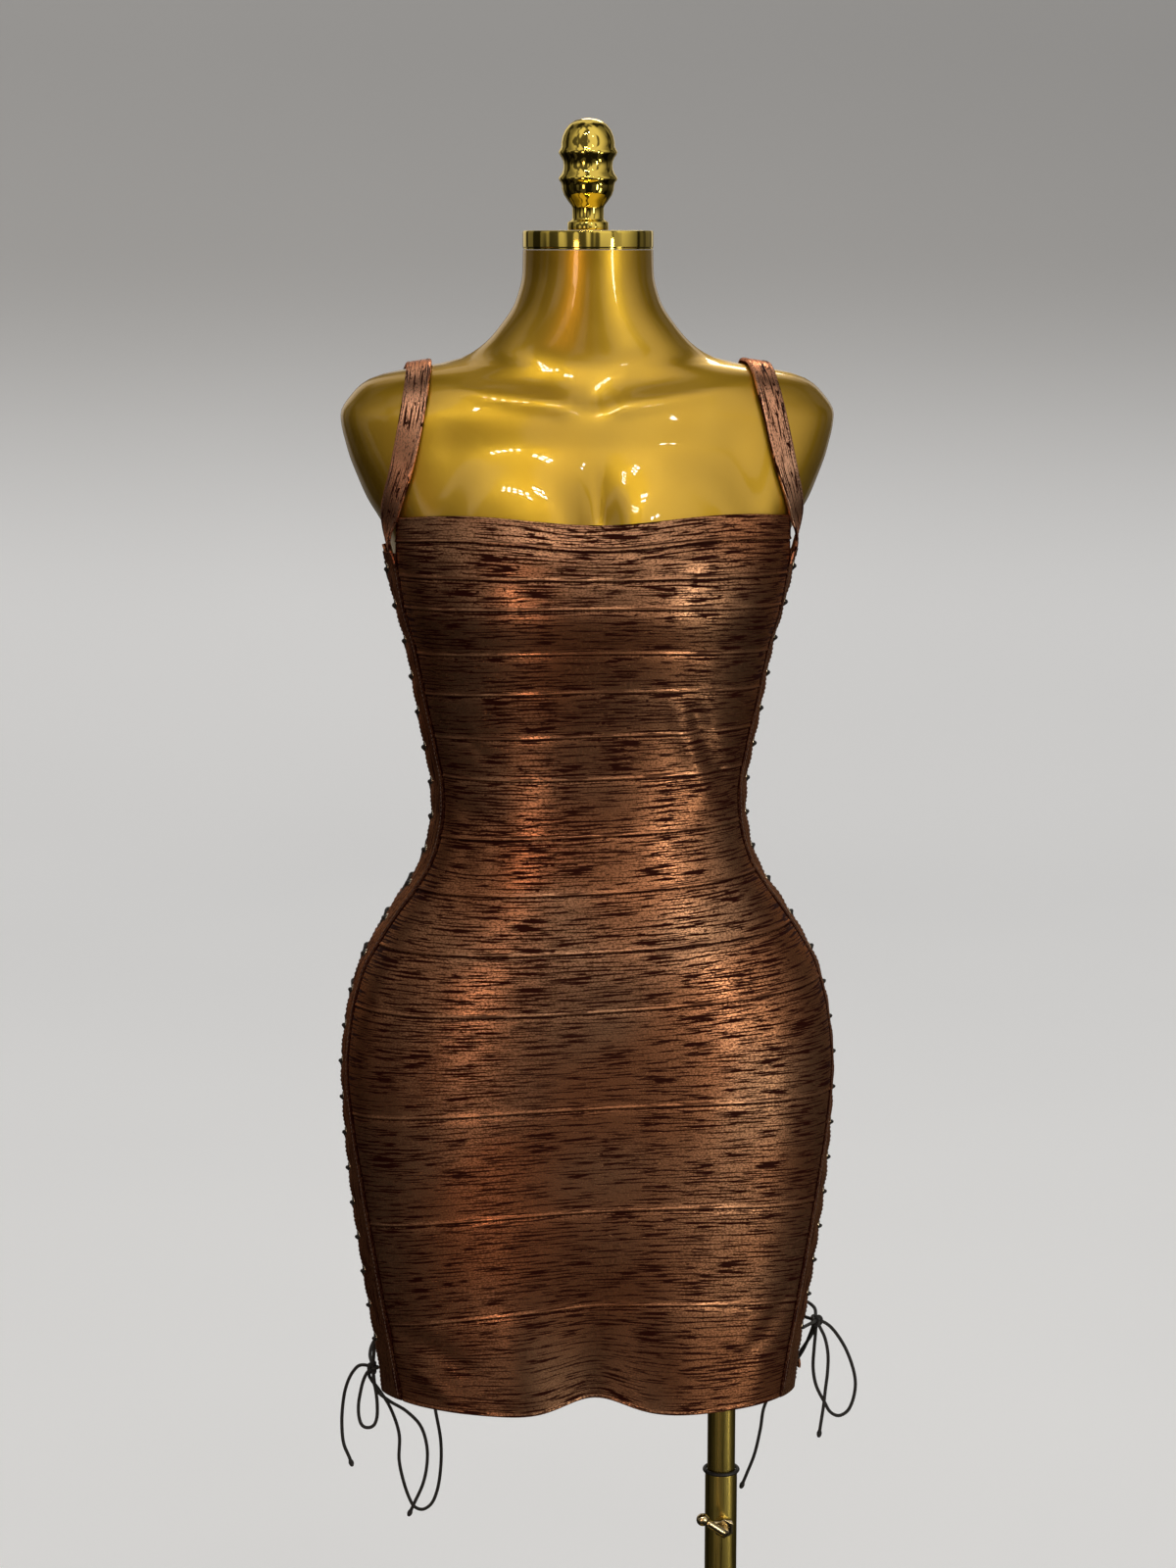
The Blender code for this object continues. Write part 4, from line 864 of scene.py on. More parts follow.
def panelAngle(share, z, front):
    d = dressSizes
    edge = sectionAt(z)[5] if front else d["backEdge"]
    limit = edgeAngle(z, edge - bandSizes["underPlacket"], front)
    return share * limit if front else math.pi - share * limit


def crossingHeight(shares, number, top, front):
    z = seamRows[number][0] + 0.0 * shares
    for _ in range(5):
        angle = panelAngle(shares, z, front)
        reach = outlinePoint(angle, z)[:, 0] / sectionAt(z)[0]
        if top and not front:
            z = dressSizes["placketTop"] + 0.0 * shares
        else:
            z = seamHeight(number, reach, front) + 0.0 * shares
    return z


def makeBand(number, front):
    b = bandSizes
    first = number if front else number + 1
    top = number == 0
    even = np.linspace(-1.0, 1.0, b["columns"] + 1)
    shares = b["crowding"] * np.sin(even * math.pi / 2.0) + (1.0 - b["crowding"]) * even
    highs = crossingHeight(shares, first, top, front)
    lows = crossingHeight(shares, first + 1, False, front)
    tall = float(np.mean(highs - lows))
    upper, lower = b["neckTop" if top else "top"], b["bottom"]
    rows = [(highs - d, h, -d) for d, h in upper]
    reach, rise = upper[-1][0], tall - upper[-1][0] - lower[0][0]
    steps = max(1, round(rise / b["rowStep"]))
    for k in range(1, steps):
        down = k / steps
        z = (highs - reach) + ((lows + lower[0][0]) - (highs - reach)) * down
        rows.append((z, b["face"] + b["swell"] * math.sin(math.pi * down), -(reach + rise * down)))
    rows += [(lows + d, h, -(tall - d)) for d, h in lower]
    lowShade = b["hemShade" if first + 1 == len(seamRows) - 1 else "ridgePaintedLight"]
    start = 0.0 if front else b["backPrint"]
    outer, inner, uv, shade = [], [], [], []
    for k, (z, height, below) in enumerate(rows):
        base = outlinePoint(panelAngle(shares, z, front), z)
        away = outward(base)
        arc = runLengths(base)
        edge = np.minimum(arc, arc[-1] - arc)
        tuck = b["sideTuck"] * (1.0 - smoothStep(*b["tuckEdge"], edge))
        lift = np.maximum(height + creaseRelief(base) - tuck, b["least"])
        outer.append(base + away * lift[:, None])
        inner.append(base + away * (lift - b["thick"])[:, None])
        uv.append(np.stack([arc - arc[-1] / 2.0 + start, seamRows[first][0] + below + 0.0 * arc], axis=1))
        value = 0.0
        if k < len(upper) and not top:
            value = np.interp(upper[k][0], *zip(*b["grooveShade"]))
        elif k >= len(rows) - len(lower):
            value = np.interp(lower[k - len(rows)][0], *zip(*lowShade))
        # painted highlight and painted shade beside the seams, and painted shade at the sides
        shade.append(value - b["sideShade"] * (1.0 - smoothStep(*b["shadeEdge"], edge)))
    name = f"{faceName(front)}_band_{number + 1:02d}"
    faces = gridFaces(len(rows), len(shares))
    mesh = clothShell(name, np.vstack(outer), np.vstack(inner), faces, np.vstack(uv))
    paintLightAndShade(mesh, np.concatenate(shade))
    piece = addPiece(name + "_knit", mesh, "foilKnit", "figure", [name], sharp=70.0)


for bandNumber in range(15):
    makeBand(bandNumber, True)
for bandNumber in range(14):
    makeBand(bandNumber, False)
print("bands made")

# the four laced edge strips, with a round metal eyelet in every stretch
placketSizes = {
    "thick": 0.0016,
    "segments": 32,
    "rings": 8,
    "hole": 0.0021,
    "scallop": 0.0009,     # how far the free edge is pulled out at each eyelet
    "puff": 0.0006,        # how far the cloth lifts between eyelets
    "seamDrop": 0.0005,    # how far the seam's edge and the free edge are rolled in
    "freeDrop": 0.0004,
    "footRows": 8,
    "footFlare": {"front_left": 0.0012, "back_left": 0.0020, "front_right": 0.0010, "back_right": 0.0150},
    "eyelet": (
        (0.00192, -0.0021), (0.00192, 0.0003), (0.0022, 0.00058), (0.0027, 0.00062),
        (0.0032, 0.00035), (0.0033, 0.0), (0.0028, -0.0001), (0.0024, -0.0021),
    ),
    "eyeletSides": 20,
    "stitchLines": (0.0022, 0.0238),
    "stitchPitch": 0.0034,
    "stitchLength": 0.0024,
    "thread": 0.00027,
    "frontPrint": 0.9,
    "backPrint": 1.7,
    "foldedArea": 1.08,    # area given for a strip, as a share of one folded layer
}


def hemAt(side):
    return dressSizes["hemHeight"] + dressSizes["hemTilt"] * side


def placketPlace(side, front, t, z):
    # t runs from 0 at the seam to 1 at the free edge
    d, p = dressSizes, placketSizes
    seam, free = placketSpan(z, front)
    way = np.sign(free - seam)
    wave = np.cos(2.0 * math.pi * (z - d["eyeletBottom"]) / eyeletPitch())
    laced = smoothStep(d["placketFoot"] - 0.012, d["eyeletBottom"], z)
    start = seam + way * d["seamGap"] / 2.0
    y = start + (free - start) * t + way * p["scallop"] * wave * laced * smoothStep(0.4, 1.0, t)
    base = sidePoint(side, y, z)
    away = outward(base)
    far = d["ease"] + d["fabric"] + d["placketProud"]
    far = far - p["puff"] * wave * laced * smoothStep(0.25, 0.8, t)
    far = far - p["seamDrop"] * (1.0 - smoothStep(0.0, 0.05, t)) - p["freeDrop"] * smoothStep(0.95, 1.0, t)
    flare = p["footFlare"][f"{faceName(front)}_{sideName(side)}"]
    foot = 1.0 - smoothStep(d["hemHeight"] - 0.002, d["placketFoot"] + 0.008, z)
    far = far + flare * foot * smoothStep(0.1, 1.0, t)
    return base, away, far


def makePlacket(side, front):
    d, p = dressSizes, placketSizes
    cuts = [d["placketTop"]]
    cuts += [(eyeletHeight(k) + eyeletHeight(k + 1)) / 2.0 for k in range(d["eyelets"] - 1)]
    cuts += [d["placketFoot"]]
    flat, lookup, faces = [], {}, []

    def corner(t, z):
        key = (round(t, 5), round(z, 6))
        if key not in lookup:
            lookup[key] = len(flat)
            flat.append((t, z))
        return lookup[key]

    quarter = p["segments"] // 4
    for number in range(d["eyelets"]):
        high, low, z = cuts[number], cuts[number + 1], eyeletHeight(number)
        seam, free = placketSpan(z, front)
        wide = abs(free - seam)
        centre = 1.0 - d["eyeletInset"] / wide
        border = []
        for (t0, z0), (t1, z1) in (((0.0, high), (1.0, high)), ((1.0, high), (1.0, low)),
                                   ((1.0, low), (0.0, low)), ((0.0, low), (0.0, high))):
            border += [(t0 + (t1 - t0) * k / quarter, z0 + (z1 - z0) * k / quarter) for k in range(quarter)]
        rings = []
        for r in range(p["rings"] + 1):
            share = (r / p["rings"]) ** 1.35
            ring = []
            for k, (bt, bz) in enumerate(border):
                turn = math.atan2(bz - z, (bt - centre) * wide)
                ct, cz = centre + p["hole"] * math.cos(turn) / wide, z + p["hole"] * math.sin(turn)
                ring.append(corner(ct + (bt - ct) * share, cz + (bz - cz) * share))
            rings.append(ring)
        for inside, outside in zip(rings, rings[1:]):
            for k in range(len(border)):
                nxt = (k + 1) % len(border)
                faces.append((inside[k], outside[k], outside[nxt], inside[nxt]))
    hem = hemAt(side)
    for r in range(p["footRows"]):
        z0 = d["placketFoot"] + (hem - d["placketFoot"]) * r / p["footRows"]
        z1 = d["placketFoot"] + (hem - d["placketFoot"]) * (r + 1) / p["footRows"]
        for k in range(quarter):
            t0, t1 = k / quarter, (k + 1) / quarter
            faces.append((corner(t0, z0), corner(t0, z1), corner(t1, z1), corner(t1, z0)))
    flat = np.array(flat)
    base, away, far = placketPlace(side, front, flat[:, 0], flat[:, 1])
    outer = base + away * far[:, None]
    inner = base + away * (far - p["thick"])[:, None]
    start = p[faceName(front) + "Print"]
    uv = np.stack([flat[:, 1], flat[:, 0] * d["placketWidth"] + start], axis=1)
    place = f"{faceName(front)}_placket_{sideName(side)}"
    mesh = clothShell(place, outer, inner, faces, uv)
    # painted shade: the strip is darker beside its seam to the panel, and a little darker over the rest
    shade = -0.8 * (1.0 - smoothStep(0.0, 0.10, flat[:, 0])) - 0.16 * smoothStep(0.10, 0.30, flat[:, 0])
    paintLightAndShade(mesh, shade)
    piece = addPiece(place + "_strip", mesh, "foilBinding", "figure", [place], sharp=60.0)
    eyelets = makeEyelets(place, side, front)
    threads = makePlacketStitches(place, side, front)
    wide, tall = d["placketWidth"], d["placketTop"] - hem


def makeEyelets(place, side, front):
    d, p = dressSizes, placketSizes
    z = np.array([eyeletHeight(k) for k in range(d["eyelets"])])
    seam, free = placketSpan(z, front)
    t = 1.0 - d["eyeletInset"] / np.abs(free - seam)
    base, away, far = placketPlace(side, front, t, z)
    centres = base + away * far[:, None]
    up = unitRows(np.cross(away, (0.0, 1.0, 0.0)))
    across = np.cross(up, away)
    turns = evenTurns(p["eyeletSides"])
    points, faces = [], []
    loops, n = len(p["eyelet"]), len(turns)
    for k in range(d["eyelets"]):
        start = len(points)
        for radius, height in p["eyelet"]:
            for turn in turns:
                spoke = math.cos(turn) * up[k] + math.sin(turn) * across[k]
                points.append(centres[k] + away[k] * height + radius * spoke)
        for r in range(loops):
            s = (r + 1) % loops
            for c in range(n):
                e = (c + 1) % n
                faces.append((start + r * n + c, start + r * n + e, start + s * n + e, start + s * n + c))
    mesh = meshOf(place + "_eyelets", points, faces)
    return addPiece(place + "_eyelets", mesh, "eyeletMetal", "figure", [])


def stitchMesh(name, starts, ends, aways, thread):
    # each stitch is a short thread that arches out of the cloth
    shares = (0.0, 0.18, 0.5, 0.82, 1.0)
    lifts = (-0.6, 0.5, 0.9, 0.5, -0.6)
    sizes = (0.55, 1.0, 1.0, 1.0, 0.55)
    sides = 6
    turns = evenTurns(sides)
    ways = ends - starts
    across = unitRows(np.cross(ways, aways))
    points, faces = [], []
    for start, way, away, cross in zip(starts, ways, aways, across):
        first = len(points)
        for share, lift, size in zip(shares, lifts, sizes):
            middle = start + way * share + away * lift * thread
            for turn in turns:
                points.append(middle + size * thread * (math.cos(turn) * cross + math.sin(turn) * away))
        faces += gridFaces(len(shares), sides, start=first, wrap=True)
        faces.append(tuple(first + k for k in range(sides)))
        faces.append(tuple(first + (len(shares) - 1) * sides + k for k in reversed(range(sides))))
    return meshOf(name, points, faces)


def makePlacketStitches(place, side, front):
    d, p = dressSizes, placketSizes
    starts, ends, aways = [], [], []
    for line in p["stitchLines"]:
        z = np.arange(d["placketTop"] - 0.004, hemAt(side) + 0.006, -p["stitchPitch"])
        t = line / d["placketWidth"] + 0.0 * z
        for k, values in ((0, starts), (1, ends)):
            base, away, far = placketPlace(side, front, t, z - k * p["stitchLength"])
            values.append(base + away * far[:, None])
        aways.append(away)
    lines = (np.vstack(values) for values in (starts, ends, aways))
    mesh = stitchMesh(place + "_stitches", *lines, p["thread"])
    return addPiece(place + "_stitches", mesh, "brownThread", "figure", [])


for placketSide in (-1, 1):
    makePlacket(placketSide, True)
    makePlacket(placketSide, False)
print("plackets, eyelets and their stitching made")

# the shoulder straps; turn is the angle over the shoulder and reach the distance from the middle
strapSizes = {
    "width": 0.0185,
    "thick": 0.0016,
    "ease": 0.0027,
    "behind": 0.0019,        # figure to the strap's face where it is sewn in
    "axisDepth": 0.004,
    "axisHeight": 1.335,
    "tuckDepth": 0.010,      # length sewn in behind the placket
    "tuckGap": 0.0006,
    "rows": (
        (-46.0, 0.1490), (-30.0, 0.1462), (-12.0, 0.1405), (8.0, 0.1355), (28.0, 0.1315),
        (48.0, 0.1280), (68.0, 0.1262), (90.0, 0.1255), (112.0, 0.1260), (134.0, 0.1275),
        (154.0, 0.1300), (174.0, 0.1330), (194.0, 0.1370), (212.0, 0.1425),
    ),
    "step": 0.0040,
    "columns": 14,
    "stitchInset": 0.0022,
    "stitchPitch": 0.0031,
    "stitchLength": 0.0022,
    "thread": 0.00024,
}


def onForm(reach, turn):
    way = np.array((0.0, -math.cos(turn), math.sin(turn)))
    start = np.array((reach, strapSizes["axisDepth"], strapSizes["axisHeight"]))
    low, high = 0.0, 0.20
    for _ in range(32):
        middle = (low + high) / 2.0
        if level(start + way * middle) < 0.0:
            low = middle
        else:
            high = middle
    return start + way * low


def makeStrap(side):
    s, d = strapSizes, dressSizes
    middles = [onForm(reach, math.radians(turn)) for turn, reach in s["rows"]]
    ends = []
    for front in (True, False):
        seam, free = placketSpan(d["placketTop"], front)
        way = np.sign(free - seam)
        y = seam + way * (s["tuckGap"] + s["width"] / 2.0)
        ends.append([sidePoint(1.0, y, d["placketTop"] + lift) for lift in (s["tuckGap"], -s["tuckDepth"])])
    route = [ends[0][1], ends[0][0]] + middles + [ends[1][0], ends[1][1]]
    line = smoothRoute(np.array([p.reshape(3) for p in route]), s["step"])
    aways = outward(line)
    across = unitRows(np.cross(unitRows(np.gradient(line, axis=0)), aways))
    across *= np.where(across[:, :1] > 0.0, -1.0, 1.0)
    # near its ends the strap turns to lie along the placket's top
    over = line[:, 2] - d["placketTop"]
    turn = 1.0 - smoothStep(0.0, 0.030, over)
    flatAcross = np.array((0.0, 1.0, 0.0)) * np.where(line[:, 1:2] < 0.0, -1.0, 1.0)
    across = unitRows(across * (1.0 - turn)[:, None] + flatAcross * turn[:, None])
    spread = np.linspace(-1.0, 1.0, s["columns"] + 1)
    edge = np.abs(spread)
    # a rib beside each edge, and a groove inside it where the stitches lie
    crown = (0.00015 * (1.0 - edge ** 2) + 0.00035 * bell(edge - 0.90, 0.07)
             - 0.00018 * bell(edge - 0.74, 0.06) - 0.0006 * smoothStep(0.94, 1.0, edge))
    along = runLengths(line)
    behind = 1.0 - smoothStep(-0.0035, 0.0030, over)
    outer, inner, uv = [], [], []
    for k in range(len(line)):
        base = line[k] + across[k] * spread[:, None] * s["width"] / 2.0
        away = outward(base)
        far = (s["ease"] + s["thick"] + crown) * (1.0 - behind[k]) + s["behind"] * behind[k]
        outer.append(base + away * far[:, None])
        inner.append(base + away * (far - s["thick"] * (1.0 - 0.35 * behind[k]))[:, None])
        beside = spread * s["width"] / 2.0 + 4.0 + 0.2 * side  # each strap has its own part of the print
        uv.append(np.stack([along[k] + 0.0 * spread + side, beside], axis=1))
    faces = gridFaces(len(line), len(spread))
    flip = np.array((side, 1.0, 1.0))
    name = f"strap_{sideName(side)}"
    mesh = clothShell(name, np.vstack(outer) * flip, np.vstack(inner) * flip, faces, np.vstack(uv))
    piece = addPiece(name + "_webbing", mesh, "foilStrap", "figure", [name], sharp=60.0)
    starts, stops, lifts = [], [], []
    at = np.arange(0.006, along[-1] - 0.009, s["stitchPitch"])
    for hand in (-1.0, 1.0):
        column = (hand * (1.0 - 2.0 * s["stitchInset"] / s["width"]) + 1.0) / 2.0 * s["columns"]
        low = int(column)
        edgeLine = np.array([row[low] + (row[low + 1] - row[low]) * (column - low) for row in outer])
        for values, shift in ((starts, 0.0), (stops, s["stitchLength"])):
            values.append(np.stack([np.interp(at + shift, along, edgeLine[:, k]) for k in range(3)], axis=1))
        lifts.append(np.stack([np.interp(at, along, aways[:, k]) for k in range(3)], axis=1))
    lines = (np.vstack(values) * flip for values in (starts, stops, lifts))
    threads = stitchMesh(name + "_stitches", *lines, s["thread"])
    sewn = addPiece(name + "_stitches", threads, "brownThread", "figure", [])
    print(f"{name} is {along[-1]:.3f} m long")


for strapSide in (-1, 1):
    makeStrap(strapSide)
print("straps made")

# the dress form
formSizes = {
    "bottom": 0.645,
    "top": 1.4812,
    "edge": 0.006,
    "under": 0.0012,         # the covered part is this much slimmer
    "lacingRelief": 0.0042,
    "cover": (1.2700, 1.3000),
    "columns": 160,
    "rows": 220,
    "socketX": 0.1060,
    "socketRadius": 0.0114,
    "socketDepth": 0.05,
    "cleftDepth": 0.0125,
    "cleftWidth": 0.015,
    "cleftHeight": 1.275,
    "cleftReach": 0.042,
    "bustRise": 0.0048,
    "bustMiddle": (0.063, 1.268),
    "bustHalf": (0.058, 0.062),
    "bustRing": (0.62, 1.22),
    "bustSide": (0.100, 0.135),
    "bustSpan": ((1.262, 1.292), (1.335, 1.378)),
    "collarRise": 0.0034,
    "collarHeight": 1.368,
    "collarStart": 0.014,
    "collarSlope": 0.16,
    "collarHalf": 0.0065,
    "collarSpan": ((0.008, 0.020), (0.085, 0.125)),
    "hollow": 0.0016,        # the dip above each collar bone
    "hollowAbove": 0.016,
    "hollowHalf": 0.0090,
    "hollowSpan": ((0.020, 0.040), (0.075, 0.110)),
    "notch": 0.0045,
    "notchHeight": 1.376,
    "notchHalf": (0.011, 0.009),
    "thighShare": 0.25,
}


def formRelief(points):
    f = formSizes
    x, y, z = np.abs(points[..., 0]), points[..., 1], points[..., 2]
    cleft = f["cleftDepth"] * bell(x, f["cleftWidth"]) * bell(z - f["cleftHeight"], f["cleftReach"])
    off = np.hypot((x - f["bustMiddle"][0]) / f["bustHalf"][0], (z - f["bustMiddle"][1]) / f["bustHalf"][1])
    ring = smoothStep(*f["bustRing"], off) * (1.0 - smoothStep(*f["bustSide"], x))
    bust = f["bustRise"] * ring * within(*f["bustSpan"], z)
    above = z - f["collarHeight"] - f["collarSlope"] * (x - f["collarStart"])
    collar = f["collarRise"] * bell(above, f["collarHalf"]) * within(*f["collarSpan"], x)
    hollow = f["hollow"] * bell(above - f["hollowAbove"], f["hollowHalf"]) * within(*f["hollowSpan"], x)
    notch = f["notch"] * bell(x, f["notchHalf"][0]) * bell(z - f["notchHeight"], f["notchHalf"][1])
    valley = f["thighShare"] * thighValley(x, y, z)
    return (collar - cleft - valley - bust - hollow - notch) * (y < 0.0)


def makeForm():
    f, d = formSizes, dressSizes
    edge = f["edge"]
    heights = [f["bottom"] + edge * (1.0 - math.cos(a)) for a in np.linspace(0.0, math.pi / 2.0, 6)]
    tucks = [edge * (1.0 - math.sin(a)) for a in np.linspace(0.0, math.pi / 2.0, 6)]
    more = np.linspace(heights[-1], f["top"], f["rows"])[1:]
    heights += list(more)
    tucks += [0.0] * len(more)
    angles = evenTurns(f["columns"])
    rings = []
    for z, tuck in zip(heights, tucks):
        ring = outlinePoint(angles, z + 0.0 * angles)
        away = outward(ring)
        covered = 1.0 - smoothStep(*f["cover"], z)
        seam = float(sectionAt(z)[5])
        back = d["backEdge"]
        beside = within((-seam - 0.010, -seam + 0.006), (back - 0.006, back + 0.010), ring[:, 1])
        lift = formRelief(ring) - covered * (f["under"] + f["lacingRelief"] * beside)
        ring = ring + away * lift[:, None]
        ring[:, 2] = z
        inward = unitRows(ring[:, :2])
        ring[:, :2] -= inward * tuck
        rings.append(ring)
    points = np.vstack(rings)
    faces = gridFaces(len(rings), len(angles), wrap=True)
    columns = len(angles)
    last = len(points)
    points = np.vstack([points, [[0.0, 0.0, f["top"]]]])
    for k in range(columns):
        faces.append((last - columns + k, last - columns + (k + 1) % columns, last))
    # the underside is closed round the pole's socket
    turns = np.array([math.atan2(p[1], p[0] - f["socketX"]) for p in rings[0]])
    x, y = f["socketX"] + f["socketRadius"] * np.cos(turns), f["socketRadius"] * np.sin(turns)
    deep = f["bottom"] + f["socketDepth"]
    socket = [np.stack([x, y, z + 0.0 * turns], axis=1) for z in (f["bottom"], deep)]
    first = len(points)
    points = np.vstack([points] + socket + [[[f["socketX"], 0.0, deep]]])
    for k in range(columns):
        nxt = (k + 1) % columns
        faces.append((k, nxt, first + nxt, first + k))
        faces.append((first + k, first + nxt, first + columns + nxt, first + columns + k))
        faces.append((first + columns + k, first + columns + nxt, len(points) - 1))
    mesh = meshOf("dress_form", points, faces)
    return addPiece("dress_form_torso", mesh, "goldPaint", "figure", ["dress_form"], sharp=55.0)


makeForm()
print("dress form made")

# turned pieces


def roundedProfile(corners, radius):
    # corners: radius and height; each is rounded a little
    corners = [np.array(c, float) for c in corners]
    profile = [corners[0]]
    for before, here, after in zip(corners, corners[1:], corners[2:]):
        ways = (before - here, after - here)
        sizes = [float(np.linalg.norm(w)) for w in ways]
        cut = min(radius, 0.45 * min(sizes))
        start, end = here + ways[0] / sizes[0] * cut, here + ways[1] / sizes[1] * cut
        for t in np.linspace(0.0, 1.0, 5):
            profile.append((1 - t) ** 2 * start + 2 * t * (1 - t) * here + t * t * end)
    return np.array(profile + [corners[-1]])


def lathe(name, profile, sides, centre, ring=False):
    # ring: the profile is a closed section
    turns = evenTurns(sides)
    circle = np.stack([np.cos(turns), np.sin(turns), 0.0 * turns], axis=1)
    rows = [np.array(centre) + r * circle + h * np.array((0.0, 0.0, 1.0)) for r, h in profile]
    points = np.vstack(rows)
    faces = gridFaces(len(rows), sides, wrap=True)
    if ring:
        start = (len(rows) - 1) * sides
        for k in range(sides):
            nxt = (k + 1) % sides
            faces.append((start + k, k, nxt, start + nxt))
    else:
        low, high = len(points), len(points) + 1
        points = np.vstack([points, [[centre[0], centre[1], centre[2] + profile[0][1]]],
                            [[centre[0], centre[1], centre[2] + profile[-1][1]]]])
        start = (len(rows) - 1) * sides
        for k in range(sides):
            nxt = (k + 1) % sides
            faces.append((nxt, k, low))
            faces.append((start + k, start + nxt, high))
    return meshOf(name, points, faces)


def addTurned(node, ending, profile, sides, place, finish, body, sharp, ring=False):
    addPiece(f"{node}_{ending}", lathe(node, profile, sides, place, ring), finish, body, [node], sharp=sharp)


finialSizes = {
    "capRadius": 0.0486,
    "capHeight": 0.0138,
    "capBottom": 1.4815,
    "gap": 0.0003,
    "capHole": 0.0154,
    "profile": (
        (0.0150, 0.0000), (0.0152, 0.0004), (0.0152, 0.0056), (0.0146, 0.0062), (0.0120, 0.0078),
        (0.0117, 0.0088), (0.0117, 0.0160), (0.0124, 0.0180), (0.0150, 0.0214), (0.0178, 0.0256),
        (0.0192, 0.0292), (0.0195, 0.0322), (0.0200, 0.0345), (0.0214, 0.0362), (0.0219, 0.0376),
        (0.0214, 0.0390), (0.0198, 0.0412), (0.0186, 0.0440), (0.0182, 0.0470), (0.0185, 0.0500),
        (0.0197, 0.0528), (0.0213, 0.0551), (0.0219, 0.0567), (0.0213, 0.0583), (0.0200, 0.0604),
        (0.0198, 0.0640), (0.0190, 0.0682), (0.0172, 0.0726), (0.0142, 0.0768), (0.0100, 0.0797),
        (0.0050, 0.0812), (0.0012, 0.0815),
    ),
}


def makeCapAndFinial():
    s = finialSizes
    r, h = s["capRadius"], s["capHeight"]
    cap = roundedProfile((
        (r - 0.0016, 0.0), (r - 0.0004, 0.0), (r - 0.0004, 0.0012), (r, 0.0018),
        (r, h - 0.0016), (r - 0.0002, h), (s["capHole"], h), (0.0030, h),
    ), 0.0006)
    addTurned("neck_cap", "disc", cap, 128, (0.0, 0.0, s["capBottom"]), "goldPlate", "figure", 35.0)
    place = (0.0, 0.0, s["capBottom"] + h + s["gap"])
    addTurned("finial", "turning", s["profile"], 96, place, "goldPlate", "figure", 60.0)


makeCapAndFinial()
print("neck cap and finial made")

poleSizes = {
    "x": 0.1060,
    "inner": 0.0110,
    "outer": 0.0127,
    "bore": 0.0114,
    "outerTop": 0.5240,
    "outerFoot": 0.0083,
    "innerBottom": 0.1900,
    "innerTop": 0.6947,
    "ring": 0.0016,
    "ringRadius": 0.0131,
    "ringHeight": 0.5259,
}


def makePole():
    p = poleSizes
    place, r = (p["x"], 0.0, 0.0), p["inner"]
    ends = (p["innerBottom"], p["innerTop"])
    inner = roundedProfile(((r - 0.0018, ends[0]), (r, ends[0]), (r, ends[1]), (r - 0.0018, ends[1])), 0.0008)
    addTurned("inner_tube", "turned", inner, 72, place, "satinBrass", "post", 35.0)
    r = p["outer"]
    foot, top = p["outerFoot"], p["outerTop"]
    corners = ((p["bore"], foot), (r, foot), (r, top), (p["bore"], top))
    outer = roundedProfile(corners + corners[:1], 0.0004)
    addTurned("outer_tube", "turned", outer, 72, place, "satinBrass", "stand", 35.0, ring=True)
    t = evenTurns(20)
    ring = np.stack([p["ringRadius"] + p["ring"] * np.cos(t), p["ring"] * np.sin(t)], axis=1)
    place = (p["x"], 0.0, p["ringHeight"])
    addTurned("rubber_ring", "round", ring, 64, place, "blackRubber", "stand", 80.0, ring=True)


makePole()

clampSizes = {
    "height": 0.4850,
    "acrossFlats": 0.0140,
    "start": 0.0130,         # distance in front of the pole's axis
    "length": 0.0100,
    "bore": 0.0036,
    "screw": 0.0031,
    "reach": 0.0340,
    "bend": 0.0045,
    "rod": 0.0225,
    "lean": 145.0,
    "ball": 0.0050,
    "threadPitch": 0.0010,
    "threadDepth": 0.00022,
}


def makeNut():
    c, x = clampSizes, poleSizes["x"]
    bm = bmesh.new()
    loops = []
    for radius in (c["acrossFlats"] / math.sqrt(3.0), c["bore"]):
        for depth in (c["start"], c["start"] + c["length"]):
            ring = []
            for k in range(6):
                turn = math.radians(60.0 * k + 30.0)
                across, up = radius * math.cos(turn), radius * math.sin(turn)
                ring.append(bm.verts.new((x + across, -depth, c["height"] + up)))
            loops.append(ring)
    order = (loops[0], loops[1], loops[3], loops[2])
    for low, high in zip(order, order[1:] + order[:1]):
        for k in range(6):
            nxt = (k + 1) % 6
            bm.faces.new((low[k], low[nxt], high[nxt], high[k]))
    bmesh.ops.recalc_face_normals(bm, faces=bm.faces)
    bmesh.ops.bevel(bm, geom=list(bm.edges), offset=0.0006, segments=3, profile=0.6, affect="EDGES")
    mesh = bpy.data.meshes.new("clamp_nut")
    bm.to_mesh(mesh)
    bm.free()
    addPiece("clamp_nut_hexagon", mesh, "brightBrass", "stand", ["clamp_nut"], sharp=35.0)


